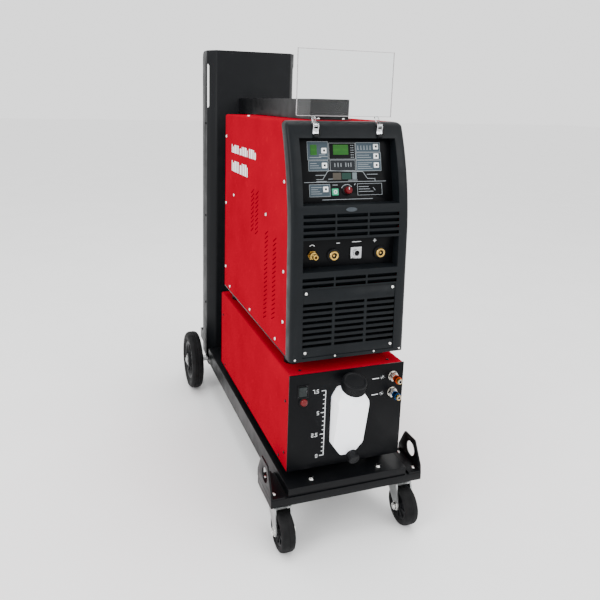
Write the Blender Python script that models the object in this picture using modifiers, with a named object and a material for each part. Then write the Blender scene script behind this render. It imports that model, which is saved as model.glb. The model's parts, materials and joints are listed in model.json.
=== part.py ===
"""TIG welding set: inverter welder on a water cooler, on a trolley with a gas bottle column.

Lengths are in millimetres (MM turns them into metres). The machine frame has X to the right
seen from the front, Y to the back and Z up, from the middle of the cooler's front bottom edge.
"""
from math import atan2, cos, degrees, pi, radians, sin, tan

import bmesh
import bpy
from mathutils import Matrix, Vector

MM = 0.001
GAP = 0.3

FLOOR_Z = -185.0
TRAY_HALF, TRAY_FRONT, TRAY_BACK, TRAY_TOP, TRAY_BOTTOM = 156.5, -32.5, 820.0, -23.0, -77.5
SHEET = 3.0
PAST = 5.0
BEAM_HALF, BEAM_FRONT, BEAM_BACK, BEAM_TOP, BEAM_BOTTOM = 200.0, -36.0, 69.0, -43.3, -63.0
LUG_HOLE, LUG_PLATE, LUG_FOOT = (16.0, -7.0, 19.0), 4.0, 35.0
LUG_FRONT, LUG_BACK, LUG_SHOULDER, LUG_TOP = -35.0, 72.0, -24.0, 26.0

COLUMN_FRONT, COLUMN_BACK, COLUMN_TOP, COLUMN_FOOT = 820.3, 919.0, 1029.0, -68.0
COLUMN_CHAMFER, COLUMN_BEND = 26.0, 12.0
COLUMN_SLOT, SLOT_ROUND = ((845.0, 840.0), (860.0, 985.0)), 7.4
COLUMN_CORNER = 22.0
PLATFORM_HALF, PLATFORM_FRONT, PLATFORM_BACK, PLATFORM_LIP, PLATFORM_LOW = 149.0, 850.0, 994.0, -8.0, -100.0

REAR_RADIUS, REAR_WIDTH, REAR_X, REAR_Y = 103.0, 42.0, 203.0, 872.0
AXLE_RADIUS = 10.0
CASTER_RADIUS, CASTER_WIDTH, CASTER_X = 49.0, 32.0, 163.0
SWIVEL_Y, CASTER_TRAIL, CASTER_PLATE, FORK_PIN = 16.0, 38.0, (72.0, 88.0, 4.0), 5.0

COOLER_HALF, COOLER_DEPTH, COOLER_HEIGHT = 150.0, 650.0, 246.0
COVER_SHEET, FOOT_RADIUS = 2.0, 20.0
TANK_X, TANK_HALF, TANK_LOW, TANK_HIGH, TANK_BACK = -2.0, 39.0, 32.0, 205.0, 290.0
CAP_RADIUS, CAP_HEIGHT, CAP_TILT = 30.0, 24.0, 20.0
CAP_BASE = (TANK_X, -32.0, 213.0)
DRAIN_BASE, DRAIN_TILT, DRAIN_RADIUS, DRAIN_HEIGHT, DRAIN_STUB = (8.0, -20.0, 34.0), 110.0, 15.0, 20.0, 9.0
COUPLING_X, COUPLING_Z = 120.5, {"red": 213.5, "blue": 171.5}
COUPLING_STEM, COUPLING_REACH, COUPLING_BORE = 5.5, 37.0, 3.4
COLLAR_RADIUS, COLLAR_LOW, COLLAR_HIGH = 9.0, 14.0, 30.0
ROCKER_AT, PILOT_AT = (-115.0, 203.0), (-113.0, 177.0)

WELDER_HALF, WELDER_BOTTOM, WELDER_TOP, WELDER_BACK = 146.0, 275.0, 824.0, 628.0
BEZEL_HALF, BEZEL_DEPTH, BEZEL_CORNER, BEZEL_ROLL, BEZEL_WALL = 148.0, 31.5, 10.0, 12.0, 3.0
BEZEL_FOOT, BEZEL_BEND, BEZEL_BROW, BEND_RADIUS = (5.5, 275.3), (19.8, 683.0), (78.2, 824.0), 680.0
RECESS_HALF = 121.0
PANEL_FOOT, PANEL_HEAD, PANEL_SHEET = (55.8, 638.5), (89.3, 786.5), 2.0
WINDOW_HALF, WINDOW_LOW, WINDOW_HIGH = 114.0, 649.0, 779.0
SOCKET_BAY, BAY_LIP = (487.0, 561.0), 4.0
SOCKET_FLOOR, SOCKET_PLATE = 42.0, 2.5
SOCKET_Z = 518.0
SOCKETS = {"negative": -36.0, "positive": 85.0}
GAS_AT, CONTROL_AT = (-90.0, 521.5), (21.5, 521.0)
VENT_COLUMNS, VENT_WIDTH = (-82.0, 0.0, 82.0), 78.0
UPPER_VENTS = [614.7 - 14.5 * row for row in range(4)]
MIDDLE_VENTS = (468.9, 454.8)
BEZEL_VENT, GRILLE_VENT = 8.4, 7.0
GRILLE_HALF, GRILLE_LOW, GRILLE_HIGH, GRILLE_SHEET = 118.0, 284.0, 446.0, 4.0
GRILLE_VENTS = [409.6 - 14.05 * row for row in range(8)]
WHITE_KEYS = ((-52.5, 756.3), (-52.5, 722.8), (-52.5, 669.1), (81.0, 765.0), (81.0, 743.1), (81.0, 722.3))
GREEN_KEY_AT = (-28.7, 662.6)
WHITE_SIDE, GREEN_SIDE, KEY_LOW, KEY_HIGH = 12.5, 16.0, -3.0, 5.0
KNOB_AT = (2.0, 665.5)
FLAP_AXIS = (67.6, 815.8)
FLAP_HALF, FLAP_NEAR, FLAP_FAR, FLAP_BACK, FLAP_SHEET = 120.5, 19.0, 167.0, 20.0, 3.0
HINGE_X, TAB_HALF = (-80.0, 81.0), 4.5
BRACKET_HALF, BRACKET_FRONT, BRACKET_TOP = 51.5, 173.0, 874.0
WELDER_FAN, COOLER_FAN, FAN_BLADES = (78.0, (0, 590, 508)), (64.0, (-40, 600, 116)), 7


TOP, SIDE, FRONT = (0, 0, 0), (90, 0, 90), (90, 0, 0)


def clear_scene():
    for obj in list(bpy.data.objects):
        bpy.data.objects.remove(obj, do_unlink=True)


def new_collection(name):
    collection = bpy.data.collections.new(name)
    bpy.context.scene.collection.children.link(collection)
    return collection


def frame(name, location, rotation=(0, 0, 0), parent=None):
    empty = bpy.data.objects.new(name, None)
    empty.empty_display_size = 0.03
    PARTS.objects.link(empty)
    return place(empty, location, rotation, parent)


def place(obj, location, rotation=(0, 0, 0), parent=None):
    if obj is not MACHINE:
        obj.parent = parent or MACHINE
    obj.location = Vector(location) * MM
    obj.rotation_euler = [radians(angle) for angle in rotation]
    return obj


def from_bmesh(name, bm):
    mesh = bpy.data.meshes.new(name)
    bm.to_mesh(mesh)
    bm.free()
    obj = bpy.data.objects.new(name, mesh)
    PARTS.objects.link(obj)
    return obj


def soften(obj, width, segments=2, angle=30):
    """Round the edges that turn by more than the angle."""
    bevel = obj.modifiers.new("rounding", "BEVEL")
    bevel.width = width * MM
    bevel.segments = segments
    bevel.limit_method = "ANGLE"
    bevel.angle_limit = radians(angle)
    return obj


def box(name, low, high, parent=None):
    """A cuboid between two corners of its parent's frame, with its origin at its centre."""
    low, high = Vector(low), Vector(high)
    bm = bmesh.new()
    bmesh.ops.create_cube(bm, size=1.0)
    bmesh.ops.scale(bm, vec=(high - low) * MM, verts=bm.verts)
    return place(from_bmesh(name, bm), (low + high) / 2, parent=parent)


def rod(name, radius, length, location, rotation=(0, 0, 0), parent=None, top=None, steps=32):
    """A cylinder or cone that stands on its location and runs along its own +Z."""
    bm = bmesh.new()
    bmesh.ops.create_cone(bm, cap_ends=True, segments=steps, radius1=radius * MM,
                          radius2=(radius if top is None else top) * MM, depth=length * MM)
    bmesh.ops.translate(bm, vec=(0, 0, length * MM / 2), verts=bm.verts)
    return smooth(place(from_bmesh(name, bm), location, rotation, parent))


def smooth(obj, angle=35):
    obj.data.shade_smooth()
    obj.data.set_sharp_from_angle(angle=radians(angle))
    return obj


def fillet(before, corner, after, radius, steps=4):
    """Points of the arc that rounds a corner of an outline."""
    corner = Vector(corner)
    back, ahead = (Vector(before) - corner).normalized(), (Vector(after) - corner).normalized()
    half = back.angle(ahead) / 2
    centre = corner + (back + ahead).normalized() * radius / sin(half)
    start = corner + back * radius / tan(half) - centre
    sweep = (pi - 2 * half) * (1 if back.cross(ahead) < 0 else -1)
    return [tuple(centre + Matrix.Rotation(sweep * step / steps, 2) @ start) for step in range(steps + 1)]


def rounded(corners):
    """An outline from (x, y) corners, each with an optional radius as its third number."""
    points = []
    for index, corner in enumerate(corners):
        if len(corner) == 2:
            points.append(corner)
            continue
        before, after = corners[index - 1], corners[(index + 1) % len(corners)]
        points += fillet(before[:2], corner[:2], after[:2], corner[2])
    return points


def curve(name, points, depth, cyclic=True):
    data = bpy.data.curves.new(name, "CURVE")
    data.dimensions = "2D"
    data.fill_mode = "BOTH" if cyclic else "NONE"
    data.extrude = depth * MM / 2
    spline = data.splines.new("POLY")
    spline.points.add(len(points) - 1)
    for point, (x, y) in zip(spline.points, points):
        point.co = (x * MM, y * MM, 0, 1)
    spline.use_cyclic_u = cyclic
    obj = bpy.data.objects.new(name, data)
    PARTS.objects.link(obj)
    return obj


def as_mesh(source):
    """The mesh of a curve object, welded into one skin."""
    bpy.context.view_layer.update()
    evaluated = source.evaluated_get(bpy.context.evaluated_depsgraph_get())
    mesh = bpy.data.meshes.new_from_object(evaluated)
    bm = bmesh.new()
    bm.from_mesh(mesh)
    bmesh.ops.remove_doubles(bm, verts=bm.verts, dist=0.01 * MM)
    bmesh.ops.recalc_face_normals(bm, faces=bm.faces)
    bm.to_mesh(mesh)
    bm.free()
    name = source.name
    bpy.data.objects.remove(source, do_unlink=True)
    obj = bpy.data.objects.new(name, mesh)
    PARTS.objects.link(obj)
    mesh.name = name
    return obj


def prism(name, outline, low, high, facing=FRONT, parent=None):
    """An outline filled and extruded between two levels along the normal of its plane."""
    obj = smooth(as_mesh(curve(name, outline, high - low)))
    normal = Matrix.Rotation(radians(facing[2]), 3, "Z") @ Matrix.Rotation(radians(facing[0]), 3, "X")
    return place(obj, normal @ Vector((0, 0, (low + high) / 2)), facing, parent)


def folded(name, outline, low, high, thickness, facing):
    """Sheet metal bent along an open outline, with the sheet to the left of the line."""
    obj = as_mesh(curve(name, outline, high - low, cyclic=False))
    turn = Matrix.Rotation(radians(facing[2]), 3, "Z") @ Matrix.Rotation(radians(facing[0]), 3, "X")
    place(obj, turn @ Vector((0, 0, (low + high) / 2)), facing)
    sheet = obj.modifiers.new("sheet", "SOLIDIFY")
    sheet.thickness = thickness * MM
    sheet.offset = -1
    return smooth(obj)


def turned(name, profile, location, rotation=(0, 0, 0), parent=None, steps=48):
    """A (radius, height) profile, from its top down its outer side, turned about its own Z."""
    bm = bmesh.new()
    verts = [bm.verts.new((radius * MM, 0, height * MM)) for radius, height in profile]
    closed = all(radius > 0 for radius, _ in (profile[0], profile[-1]))
    pairs = zip(verts, verts[1:] + (verts[:1] if closed else []))
    for first, second in pairs:
        bm.edges.new((first, second))
    obj = place(from_bmesh(name, bm), location, rotation, parent)
    screw = obj.modifiers.new("turning", "SCREW")
    screw.steps = screw.render_steps = steps
    screw.use_merge_vertices = True
    screw.merge_threshold = 0.00001
    screw.use_smooth_shade = False
    return obj


def combine(target, operation, tools):
    for tool in tools:
        PARTS.objects.unlink(tool)
        CUTTERS.objects.link(tool)
        tool.hide_render = True
        tool.display_type = "WIRE"
        boolean = target.modifiers.new(operation.lower(), "BOOLEAN")
        boolean.operation = operation
        boolean.solver = "EXACT"
        boolean.object = tool
    return target


def cut(target, *tools):
    return combine(target, "DIFFERENCE", tools)


def join(target, *tools):
    return combine(target, "UNION", tools)


def keep(target, *tools):
    return combine(target, "INTERSECT", tools)


def slots(name, columns, rows, width, height, depth, parent=None):
    """One cutter of equal slots at the crossings of columns (X) and rows (Z), between two depths (Y)."""
    bm = bmesh.new()
    low, high = depth
    for x in columns:
        for z in rows:
            size = Matrix.Diagonal((width * MM, (high - low) * MM, height * MM, 1))
            middle = Matrix.Translation(Vector((x, (low + high) / 2, z)) * MM)
            bmesh.ops.create_cube(bm, size=1.0, matrix=middle @ size)
    return place(from_bmesh(name, bm), (0, 0, 0), parent=parent)


def finish(obj, material):
    obj.data.materials.clear()
    obj.data.materials.append(material)
    return obj


def make_material(name, colour, roughness, metallic=0.0, alpha=1.0):
    material = bpy.data.materials.new(name)
    material.use_nodes = True
    shader = material.node_tree.nodes["Principled BSDF"]
    shader.inputs["Base Color"].default_value = (*colour, 1.0)
    shader.inputs["Roughness"].default_value = roughness
    shader.inputs["Metallic"].default_value = metallic
    shader.inputs["Alpha"].default_value = alpha
    return material


def build_tray():
    tray = box("trolley_tray", (-TRAY_HALF, TRAY_FRONT, TRAY_BOTTOM), (TRAY_HALF, TRAY_BACK, TRAY_TOP))
    inside = TRAY_HALF - SHEET
    hollow = box("tray_hollow", (-inside, TRAY_FRONT + SHEET, TRAY_BOTTOM - PAST),
                 (inside, TRAY_BACK + PAST, TRAY_TOP - SHEET))
    step = box("tray_step", (-BEAM_HALF, BEAM_FRONT - PAST, TRAY_BOTTOM - PAST),
               (BEAM_HALF, BEAM_BACK + 4, BEAM_TOP + GAP))
    return finish(cut(tray, hollow, step), BLACK_PAINT)


def build_crossbeam():
    beam = box("front_crossbeam", (-BEAM_HALF, BEAM_FRONT, BEAM_BOTTOM), (BEAM_HALF, BEAM_BACK, BEAM_TOP))
    hollow = box("beam_hollow", (-BEAM_HALF + SHEET, BEAM_FRONT + SHEET, BEAM_BOTTOM + SHEET),
                 (BEAM_HALF - SHEET, BEAM_BACK + PAST, BEAM_TOP - SHEET))
    return finish(cut(beam, hollow), BLACK_PAINT)


def build_lug(side, sign):
    base, y, z, radius = BEAM_TOP + GAP, *LUG_HOLE
    outline = rounded([(LUG_FRONT, base), (LUG_BACK, base), (LUG_BACK, LUG_SHOULDER, 6), (y + 30, LUG_TOP, 6),
                       (y - 18, LUG_TOP, 6), (LUG_FRONT + 3, LUG_SHOULDER - 1, 4)])
    inner, outer = sorted((sign * (BEAM_HALF - LUG_PLATE), sign * BEAM_HALF))
    lug = prism(f"lug_{side}", outline, inner, outer, SIDE)
    low, high = sorted((sign * (BEAM_HALF - LUG_FOOT), sign * (BEAM_HALF - LUG_PLATE / 2)))
    foot = box(f"lug_foot_{side}", (low, LUG_FRONT, base), (high, LUG_BACK, base + LUG_PLATE))
    hole = rod(f"lug_hole_{side}", radius, 30, (sign * (BEAM_HALF - LUG_PLATE / 2) - 15, y, z), (0, 90, 0))
    return finish(cut(join(lug, foot), hole), BLACK_PAINT)


def build_column():
    side, bend, arc = TRAY_HALF - 0.5, COLUMN_CHAMFER, COLUMN_BEND
    chamfer_end = COLUMN_FRONT + bend + 6
    outline = rounded([(-side, COLUMN_BACK), (-side, chamfer_end, arc), (-side + bend, COLUMN_FRONT, arc),
                       (side - bend, COLUMN_FRONT, arc), (side, chamfer_end, arc), (side, COLUMN_BACK)])
    column = folded("bottle_column", outline, COLUMN_FOOT, COLUMN_TOP, SHEET, TOP)
    (front, low), (back, high) = COLUMN_SLOT
    opening = rounded([(y, z, SLOT_ROUND) for y, z in ((front, low), (back, low), (back, high), (front, high))])
    slot = prism("column_slots", opening, -BEAM_HALF, BEAM_HALF, SIDE)
    centre = Vector((COLUMN_BACK - COLUMN_CORNER, COLUMN_TOP - COLUMN_CORNER))
    arc = [centre + COLUMN_CORNER * Vector((sin(turn * pi / 12), cos(turn * pi / 12))) for turn in range(7)]
    corner = prism("column_corner", [(centre.x, COLUMN_TOP + 20), (centre.x, COLUMN_TOP), *arc[1:],
                                     (COLUMN_BACK + 20, centre.y), (COLUMN_BACK + 20, COLUMN_TOP + 20)],
                   -BEAM_HALF, BEAM_HALF, SIDE)
    return finish(cut(column, slot, corner), BLACK_PAINT)


def build_platform():
    half, inside, low = PLATFORM_HALF, PLATFORM_HALF - SHEET, PLATFORM_LOW
    platform = box("bottle_platform", (-half, PLATFORM_FRONT, low), (half, PLATFORM_BACK, PLATFORM_LIP))
    under = box("platform_under", (-inside, PLATFORM_FRONT - PAST, low - PAST),
                (inside, PLATFORM_BACK - SHEET, TRAY_TOP))
    over = box("platform_over", (-inside, PLATFORM_FRONT - PAST, TRAY_TOP + SHEET),
               (inside, PLATFORM_BACK - SHEET, PLATFORM_LIP + PAST))
    below = prism("platform_below", [(REAR_Y + 33, low - 10), (REAR_Y + 48, low / 2),
                                     (PLATFORM_BACK + 16, low / 2 + PAST), (PLATFORM_BACK + 16, low - 10)],
                  -BEAM_HALF, BEAM_HALF, SIDE)
    axle_end = (-BEAM_HALF, REAR_Y, FLOOR_Z + REAR_RADIUS)
    bore = rod("platform_bore", AXLE_RADIUS + GAP, 2 * BEAM_HALF, axle_end, (0, 90, 0))
    return finish(cut(platform, under, over, below, bore), BLACK_PAINT)


def build_rear_wheels():
    axle_z = FLOOR_Z + REAR_RADIUS
    reach = REAR_X + REAR_WIDTH / 2 + 6
    axle = rod("rear_axle", AXLE_RADIUS, 2 * reach, (-reach, REAR_Y, axle_z), (0, 90, 0), steps=32)
    finish(axle, STEEL)
    half, rim = REAR_WIDTH / 2, REAR_RADIUS - 34
    tyre_side = [(REAR_RADIUS - 8, half - 1), (REAR_RADIUS - 2, half - 6), (REAR_RADIUS, half - 13)]
    tyre = ([(rim + GAP, 15), (rim + 6, 18), (rim + 16, half), *tyre_side]
            + [(radius, -height) for radius, height in reversed(tyre_side)]
            + [(rim + 16, -half), (rim + 6, -18), (rim + GAP, -15)])
    bore = AXLE_RADIUS + GAP
    rim_side = [(bore, 21), (24, 21), (27, 9), (52, 5), (rim - 9, 14), (rim, 15)]
    disc = rim_side + [(radius, -height) for radius, height in reversed(rim_side)]
    for side, sign in (("left", -1), ("right", 1)):
        at = (sign * REAR_X, REAR_Y, axle_z)
        finish(turned(f"rear_tyre_{side}", tyre, at, (0, 90, 0), steps=32), RUBBER)
        finish(turned(f"rear_rim_{side}", disc, at, (0, 90, 0), steps=32), BLACK_PLASTIC)


def build_caster(side, sign):
    swivel = frame(f"swivel_{side}", (sign * CASTER_X, SWIVEL_Y, BEAM_BOTTOM - GAP))
    width, length, thickness = CASTER_PLATE
    plate = box(f"caster_plate_{side}", (-width / 2, -length / 2, -thickness), (width / 2, length / 2, 0), swivel)
    finish(plate, STEEL)
    drop = FLOOR_Z + CASTER_RADIUS - BEAM_BOTTOM + GAP
    fork = turned(f"caster_fork_{side}", [(0, -4.3), (27, -4.3), (30, -8), (30, -14), (26, -18), (0, -18)],
                  (0, 0, 0), parent=swivel, steps=32)
    bridge = box(f"fork_bridge_{side}", (-22, -34, -20), (22, 26, -16), parent=swivel)
    wheel_y, clear = -CASTER_TRAIL, CASTER_WIDTH / 2 + 2
    leg_outline = rounded([(26, -16), (-34, -16), (wheel_y - 12, drop + 4, 6), (wheel_y - 9, drop - 11, 8),
                           (wheel_y + 9, drop - 11, 8), (wheel_y + 14, drop + 4, 6)])
    legs = [prism(f"fork_leg_{side}_{name}", leg_outline, low, low + 4, SIDE, swivel)
            for name, low in (("a", -clear - 4), ("b", clear))]
    reach = clear + 9
    axle = rod(f"fork_axle_{side}", FORK_PIN, 2 * reach, (-reach, wheel_y, drop), (0, 90, 0), swivel, steps=16)
    finish(join(fork, bridge, *legs, axle), STEEL)
    half, radius = CASTER_WIDTH / 2, CASTER_RADIUS
    profile = [(FORK_PIN + GAP, half + 1), (12, half + 1), (14, half - 4), (30, half - 4), (34, half - 1),
               (radius - 4, half - 1), (radius, half - 6)]
    outline = profile + [(r, -h) for r, h in reversed(profile)]
    wheel = turned(f"caster_wheel_{side}", outline, (0, wheel_y, drop), (0, 90, 0), swivel, steps=24)
    finish(wheel, RUBBER)


def build_cooler_body():
    half, depth, height = COOLER_HALF, COOLER_DEPTH, COOLER_HEIGHT
    inside = half - COVER_SHEET - GAP
    chassis = box("cooler_chassis", (-inside, 3.3, 0), (inside, depth, height - 3.8))
    hollow = box("chassis_hollow", (-half, -5, SHEET), (half, depth - SHEET, height + 5))
    feet = [rod(f"cooler_foot_{x}_{y}", FOOT_RADIUS, 1 - TRAY_TOP, (x, y, TRAY_TOP + GAP), steps=24)
            for x in (-120, 120) for y in (60, 590)]
    rows = [60 + 14 * row for row in range(9)]
    grille = slots("cooler_grille", (-40,), rows, 120, 6, (depth - 10, depth + 5))
    finish(cut(join(cut(chassis, hollow), *feet), grille), BLACK_PAINT)
    outline = rounded([(half, 0.3), (half, height, 5), (-half, height, 5), (-half, 0.3)])
    finish(folded("cooler_cover", outline, -depth, -3.3, COVER_SHEET, FRONT), RED_PAINT)
    panel = box("cooler_front_panel", (-half, 0, 0), (half, 3, height))
    tank_hole = prism("tank_hole", tank_outline(1.0), -10, 10, FRONT)
    x, z = ROCKER_AT
    rocker_hole = box("rocker_hole", (x - 11, -5, z - 13), (x + 11, 10, z + 13))
    finish(cut(panel, tank_hole, rocker_hole), BLACK_PAINT)


def tank_outline(spread=0.0):
    left, right = TANK_X - TANK_HALF - spread, TANK_X + TANK_HALF + spread
    low, high = TANK_LOW - spread, TANK_HIGH + spread
    return rounded([(left + 22, low, 8), (right - 22, low, 8), (right, low + 30, 10), (right, high - 24, 10),
                    (right - 14, high, 8), (left + 14, high, 8), (left, high - 24, 10), (left, low + 30, 10)])


def build_tank():
    tank = prism("water_tank", tank_outline(), -TANK_BACK - PAST, 60, FRONT)
    bulge = rounded([(-14, 20), (-20, 56, 20), (-43, 172, 24), (-34, 193, 12), (-4, 208, 10),
                     (TANK_BACK, 208), (TANK_BACK, 20)])
    keep(tank, prism("tank_profile", bulge, -2 * TANK_HALF, 2 * TANK_HALF, SIDE))
    neck = rod("tank_neck", CAP_RADIUS - 7, 50, (TANK_X, CAP_BASE[1] + 12, CAP_BASE[2] - 33), (CAP_TILT, 0, 0))
    drain_back = Matrix.Rotation(radians(DRAIN_TILT), 3, "X") @ Vector((0, 0, -12))
    stub = rod("tank_drain", DRAIN_STUB, 24, Vector(DRAIN_BASE) + drain_back, (DRAIN_TILT, 0, 0), steps=24)
    finish(join(tank, neck, stub), TANK_PLASTIC)
    cap = rod("filler_cap", CAP_RADIUS, CAP_HEIGHT, CAP_BASE, (CAP_TILT, 0, 0), steps=40)
    well = rod("cap_well", CAP_RADIUS - 7 + GAP, CAP_HEIGHT - 3, (0, 0, -1), parent=cap, steps=32)
    finish(cut(cap, well), BLACK_PLASTIC)
    drain = rod("drain_cap", DRAIN_RADIUS, DRAIN_HEIGHT, DRAIN_BASE, (DRAIN_TILT, 0, 0), steps=24)
    drain_well = rod("drain_well", DRAIN_STUB + GAP, 14, (0, 0, -1), parent=drain, steps=24)
    finish(cut(drain, drain_well), BLACK_PLASTIC)


def build_coupling(colour):
    """Quick coupling: a hexagon body with a stem, and a sleeve that is pulled back to release."""
    at = (COUPLING_X, -GAP, COUPLING_Z[colour])
    body = rod(f"coupling_{colour}", 13, 9, at, (90, 0, 0), steps=6)
    stem = rod(f"coupling_stem_{colour}", COUPLING_STEM, COUPLING_REACH, at, (90, 0, 0), steps=24)
    bore = rod(f"coupling_bore_{colour}", COUPLING_BORE, 30, (at[0], at[1] - 10, at[2]), (90, 0, 0), steps=16)
    finish(cut(join(body, stem), bore), NICKEL)
    inner, outer, low, high = COUPLING_STEM + GAP, COLLAR_RADIUS, COLLAR_LOW, COLLAR_HIGH
    sleeve = [(inner, high), (outer - 1, high), (outer, high - 1), (outer, low + 1), (outer - 1, low),
              (inner, low)]
    finish(turned(f"collar_{colour}", sleeve, at, (90, 0, 0), steps=24), COLLAR[colour])


def build_cooler_controls():
    x, z = ROCKER_AT
    pivot = frame("rocker_pivot", (x, 1.5, z))
    outline = [(4, -12), (-3.5, -12), (-0.5, 0), (-6.5, 12), (4, 12)]
    finish(prism("cooler_rocker", outline, -10, 10, SIDE, pivot), GREY_PLASTIC)
    x, z = PILOT_AT
    lamp = [(0, 9), (6, 8.4), (9, 6), (9.5, 3), (11.5, 3), (11.5, 0), (0, 0)]
    finish(turned("pilot_lamp", lamp, (x, -GAP, z), (90, 0, 0), steps=32), RED_LENS)


def build_cooler_inside():
    pump = rod("cooler_pump", 38, 120, (-85, 330, 60), (-90, 0, 0), steps=24)
    mount = box("pump_mount", (-115, 345, SHEET + GAP), (-55, 435, 50))
    finish(join(pump, mount), STEEL)
    radiator = box("radiator", (-110, 500, 45), (30, 540, 205))
    fins = slots("radiator_fins", (-40,), [58 + 12 * row for row in range(12)], 124, 5, (495, 545))
    finish(cut(radiator, fins), ALUMINIUM)
    build_fan("cooler_fan", *COOLER_FAN)


def build_fan(name, radius, at):
    hub = rod(name, radius * 0.3, 22, at, (-90, 0, 0), steps=20)
    tools = []
    for blade in range(FAN_BLADES):
        vane = box(f"{name}_blade_{blade}", (radius * 0.2, -radius * 0.2, -1), (radius, radius * 0.2, 1), hub)
        reach = Matrix.Rotation(2 * pi * blade / FAN_BLADES, 4, "Z")
        tilt = Matrix.Rotation(radians(28), 4, "X")
        vane.matrix_basis = reach @ Matrix.Translation((radius * 0.6 * MM, 0, 11 * MM)) @ tilt
        tools.append(vane)
    return finish(join(hub, *tools), BLACK_PLASTIC)


def face_line(steps=10):
    """The front of the bezel from foot to brow as (Y, Z): straight, then leaning back round a wide bend."""
    return [BEZEL_FOOT, *fillet(BEZEL_FOOT, BEZEL_BEND, BEZEL_BROW, BEND_RADIUS, steps), BEZEL_BROW]


def face_y(z):
    """How far back the bezel's front is at a height; the end slopes carry on above and below."""
    line = face_line()
    for (y0, z0), (y1, z1) in zip(line, line[1:]):
        if z <= z1:
            break
    return y0 + (y1 - y0) * (z - z0) / (z1 - z0)


def bezel_solid(name, inset, depth):
    """The bezel's outer form, or its hollow: plan sections with rounded front corners and a rolled top edge."""
    roll, corner = BEZEL_ROLL - inset, BEZEL_CORNER - inset
    top = WELDER_TOP - inset
    heights = [(WELDER_BOTTOM + GAP + inset, 0.0)]
    heights += [(z, 0.0) for _, z in face_line() if heights[0][0] < z < top - roll]
    heights += [(top - roll + roll * sin(step * pi / 8), roll * (1 - cos(step * pi / 8))) for step in range(5)]
    bm = bmesh.new()
    rings = []
    for z, rolled in heights:
        half, front, rear = BEZEL_HALF - inset - rolled, face_y(z) + inset + rolled, face_y(z) + depth
        plan = rounded([(-half, rear), (-half, front, corner), (half, front, corner), (half, rear)])
        rings.append([bm.verts.new(Vector((x, y, z)) * MM) for x, y in plan])
    for lower, upper in zip(rings, rings[1:]):
        for index in range(len(lower)):
            bm.faces.new((lower[index - 1], lower[index], upper[index], upper[index - 1]))
    bm.faces.new(list(reversed(rings[0])))
    bm.faces.new(rings[-1])
    return smooth(place(from_bmesh(name, bm), (0, 0, 0)), 50)


def seam(name, gap):
    """A cutter that takes away everything in front of the bezel's rear edge."""
    heights = [WELDER_BOTTOM - 35, *(z for _, z in face_line()), WELDER_TOP + 20]
    rear = [(face_y(z) + BEZEL_DEPTH + gap, z) for z in heights]
    return prism(name, [(-60, heights[0]), *rear, (-60, heights[-1])], -200, 200, SIDE)


def build_bezel():
    wall, shell = BEZEL_WALL, RECESS_HALF + BEZEL_WALL
    bezel = bezel_solid("front_bezel", 0.0, BEZEL_DEPTH)
    cut(bezel, bezel_solid("bezel_core", wall, BEZEL_DEPTH + 60))
    (foot_y, foot_z), (head_y, head_z) = PANEL_FOOT, PANEL_HEAD
    inner_face = [(face_y(z) + wall / 2, z) for z in (head_z + wall, 750, 710, 670, foot_z - wall)]
    rear_face = [(foot_y + wall, foot_z - wall), (head_y + wall + 0.4, head_z + wall)]
    surround = prism("panel_surround", [*inner_face, *rear_face], -shell, shell, SIDE)
    low, high = SOCKET_BAY
    bay = box("socket_surround", (-shell, face_y(high), low - wall), (shell, SOCKET_FLOOR + wall, high + wall))
    join(bezel, surround, bay)
    recess = prism("panel_recess", [PANEL_FOOT, PANEL_HEAD, (-30, head_z), (-30, foot_z)],
                   -RECESS_HALF, RECESS_HALF, SIDE)
    window = box("panel_window", (-WINDOW_HALF, 50, WINDOW_LOW), (WINDOW_HALF, 110, WINDOW_HIGH))
    fall = BAY_LIP / (SOCKET_FLOOR - face_y(low))
    socket_recess = prism("socket_recess", [(SOCKET_FLOOR, low + BAY_LIP), (SOCKET_FLOOR, high), (-30, high),
                                            (-30, low + BAY_LIP - fall * (SOCKET_FLOOR + 30))],
                          -RECESS_HALF, RECESS_HALF, SIDE)
    socket_window = box("socket_window", (-WINDOW_HALF, 30, low + 14), (WINDOW_HALF, 90, high - 6))
    reach = GRILLE_HALF + GAP
    grille_hole = box("grille_hole", (-reach, -20, GRILLE_LOW - GAP), (reach, 90, GRILLE_HIGH + GAP))
    vents = slots("bezel_vents", VENT_COLUMNS, [*UPPER_VENTS, *MIDDLE_VENTS], VENT_WIDTH, BEZEL_VENT, (-20, 90))
    cut(bezel, recess, window, socket_recess, socket_window, grille_hole, vents)
    finish(bezel, DARK_PLASTIC)
    sheet = [(face_y(z) + depth, z) for depth, z in ((1, GRILLE_LOW), (1 + GRILLE_SHEET, GRILLE_LOW),
                                                     (1 + GRILLE_SHEET, GRILLE_HIGH), (1, GRILLE_HIGH))]
    grille = prism("access_grille", sheet, -GRILLE_HALF, GRILLE_HALF, SIDE)
    vents = slots("grille_vents", VENT_COLUMNS, GRILLE_VENTS, VENT_WIDTH - 3, GRILLE_VENT, (-20, 90))
    finish(cut(grille, vents), DARK_PLASTIC)


def panel_face():
    """The frame in the middle of the control panel's seat, and how far up the panel from it a height is."""
    foot, head = Vector(PANEL_FOOT), Vector(PANEL_HEAD)
    middle, lean = (foot + head) / 2, atan2(head.x - foot.x, head.y - foot.y)
    face = frame("panel_face", (0, middle.x, middle.y), (90 - degrees(lean), 0, 0))
    return face, lambda z: (z - middle.y) / cos(lean)


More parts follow.
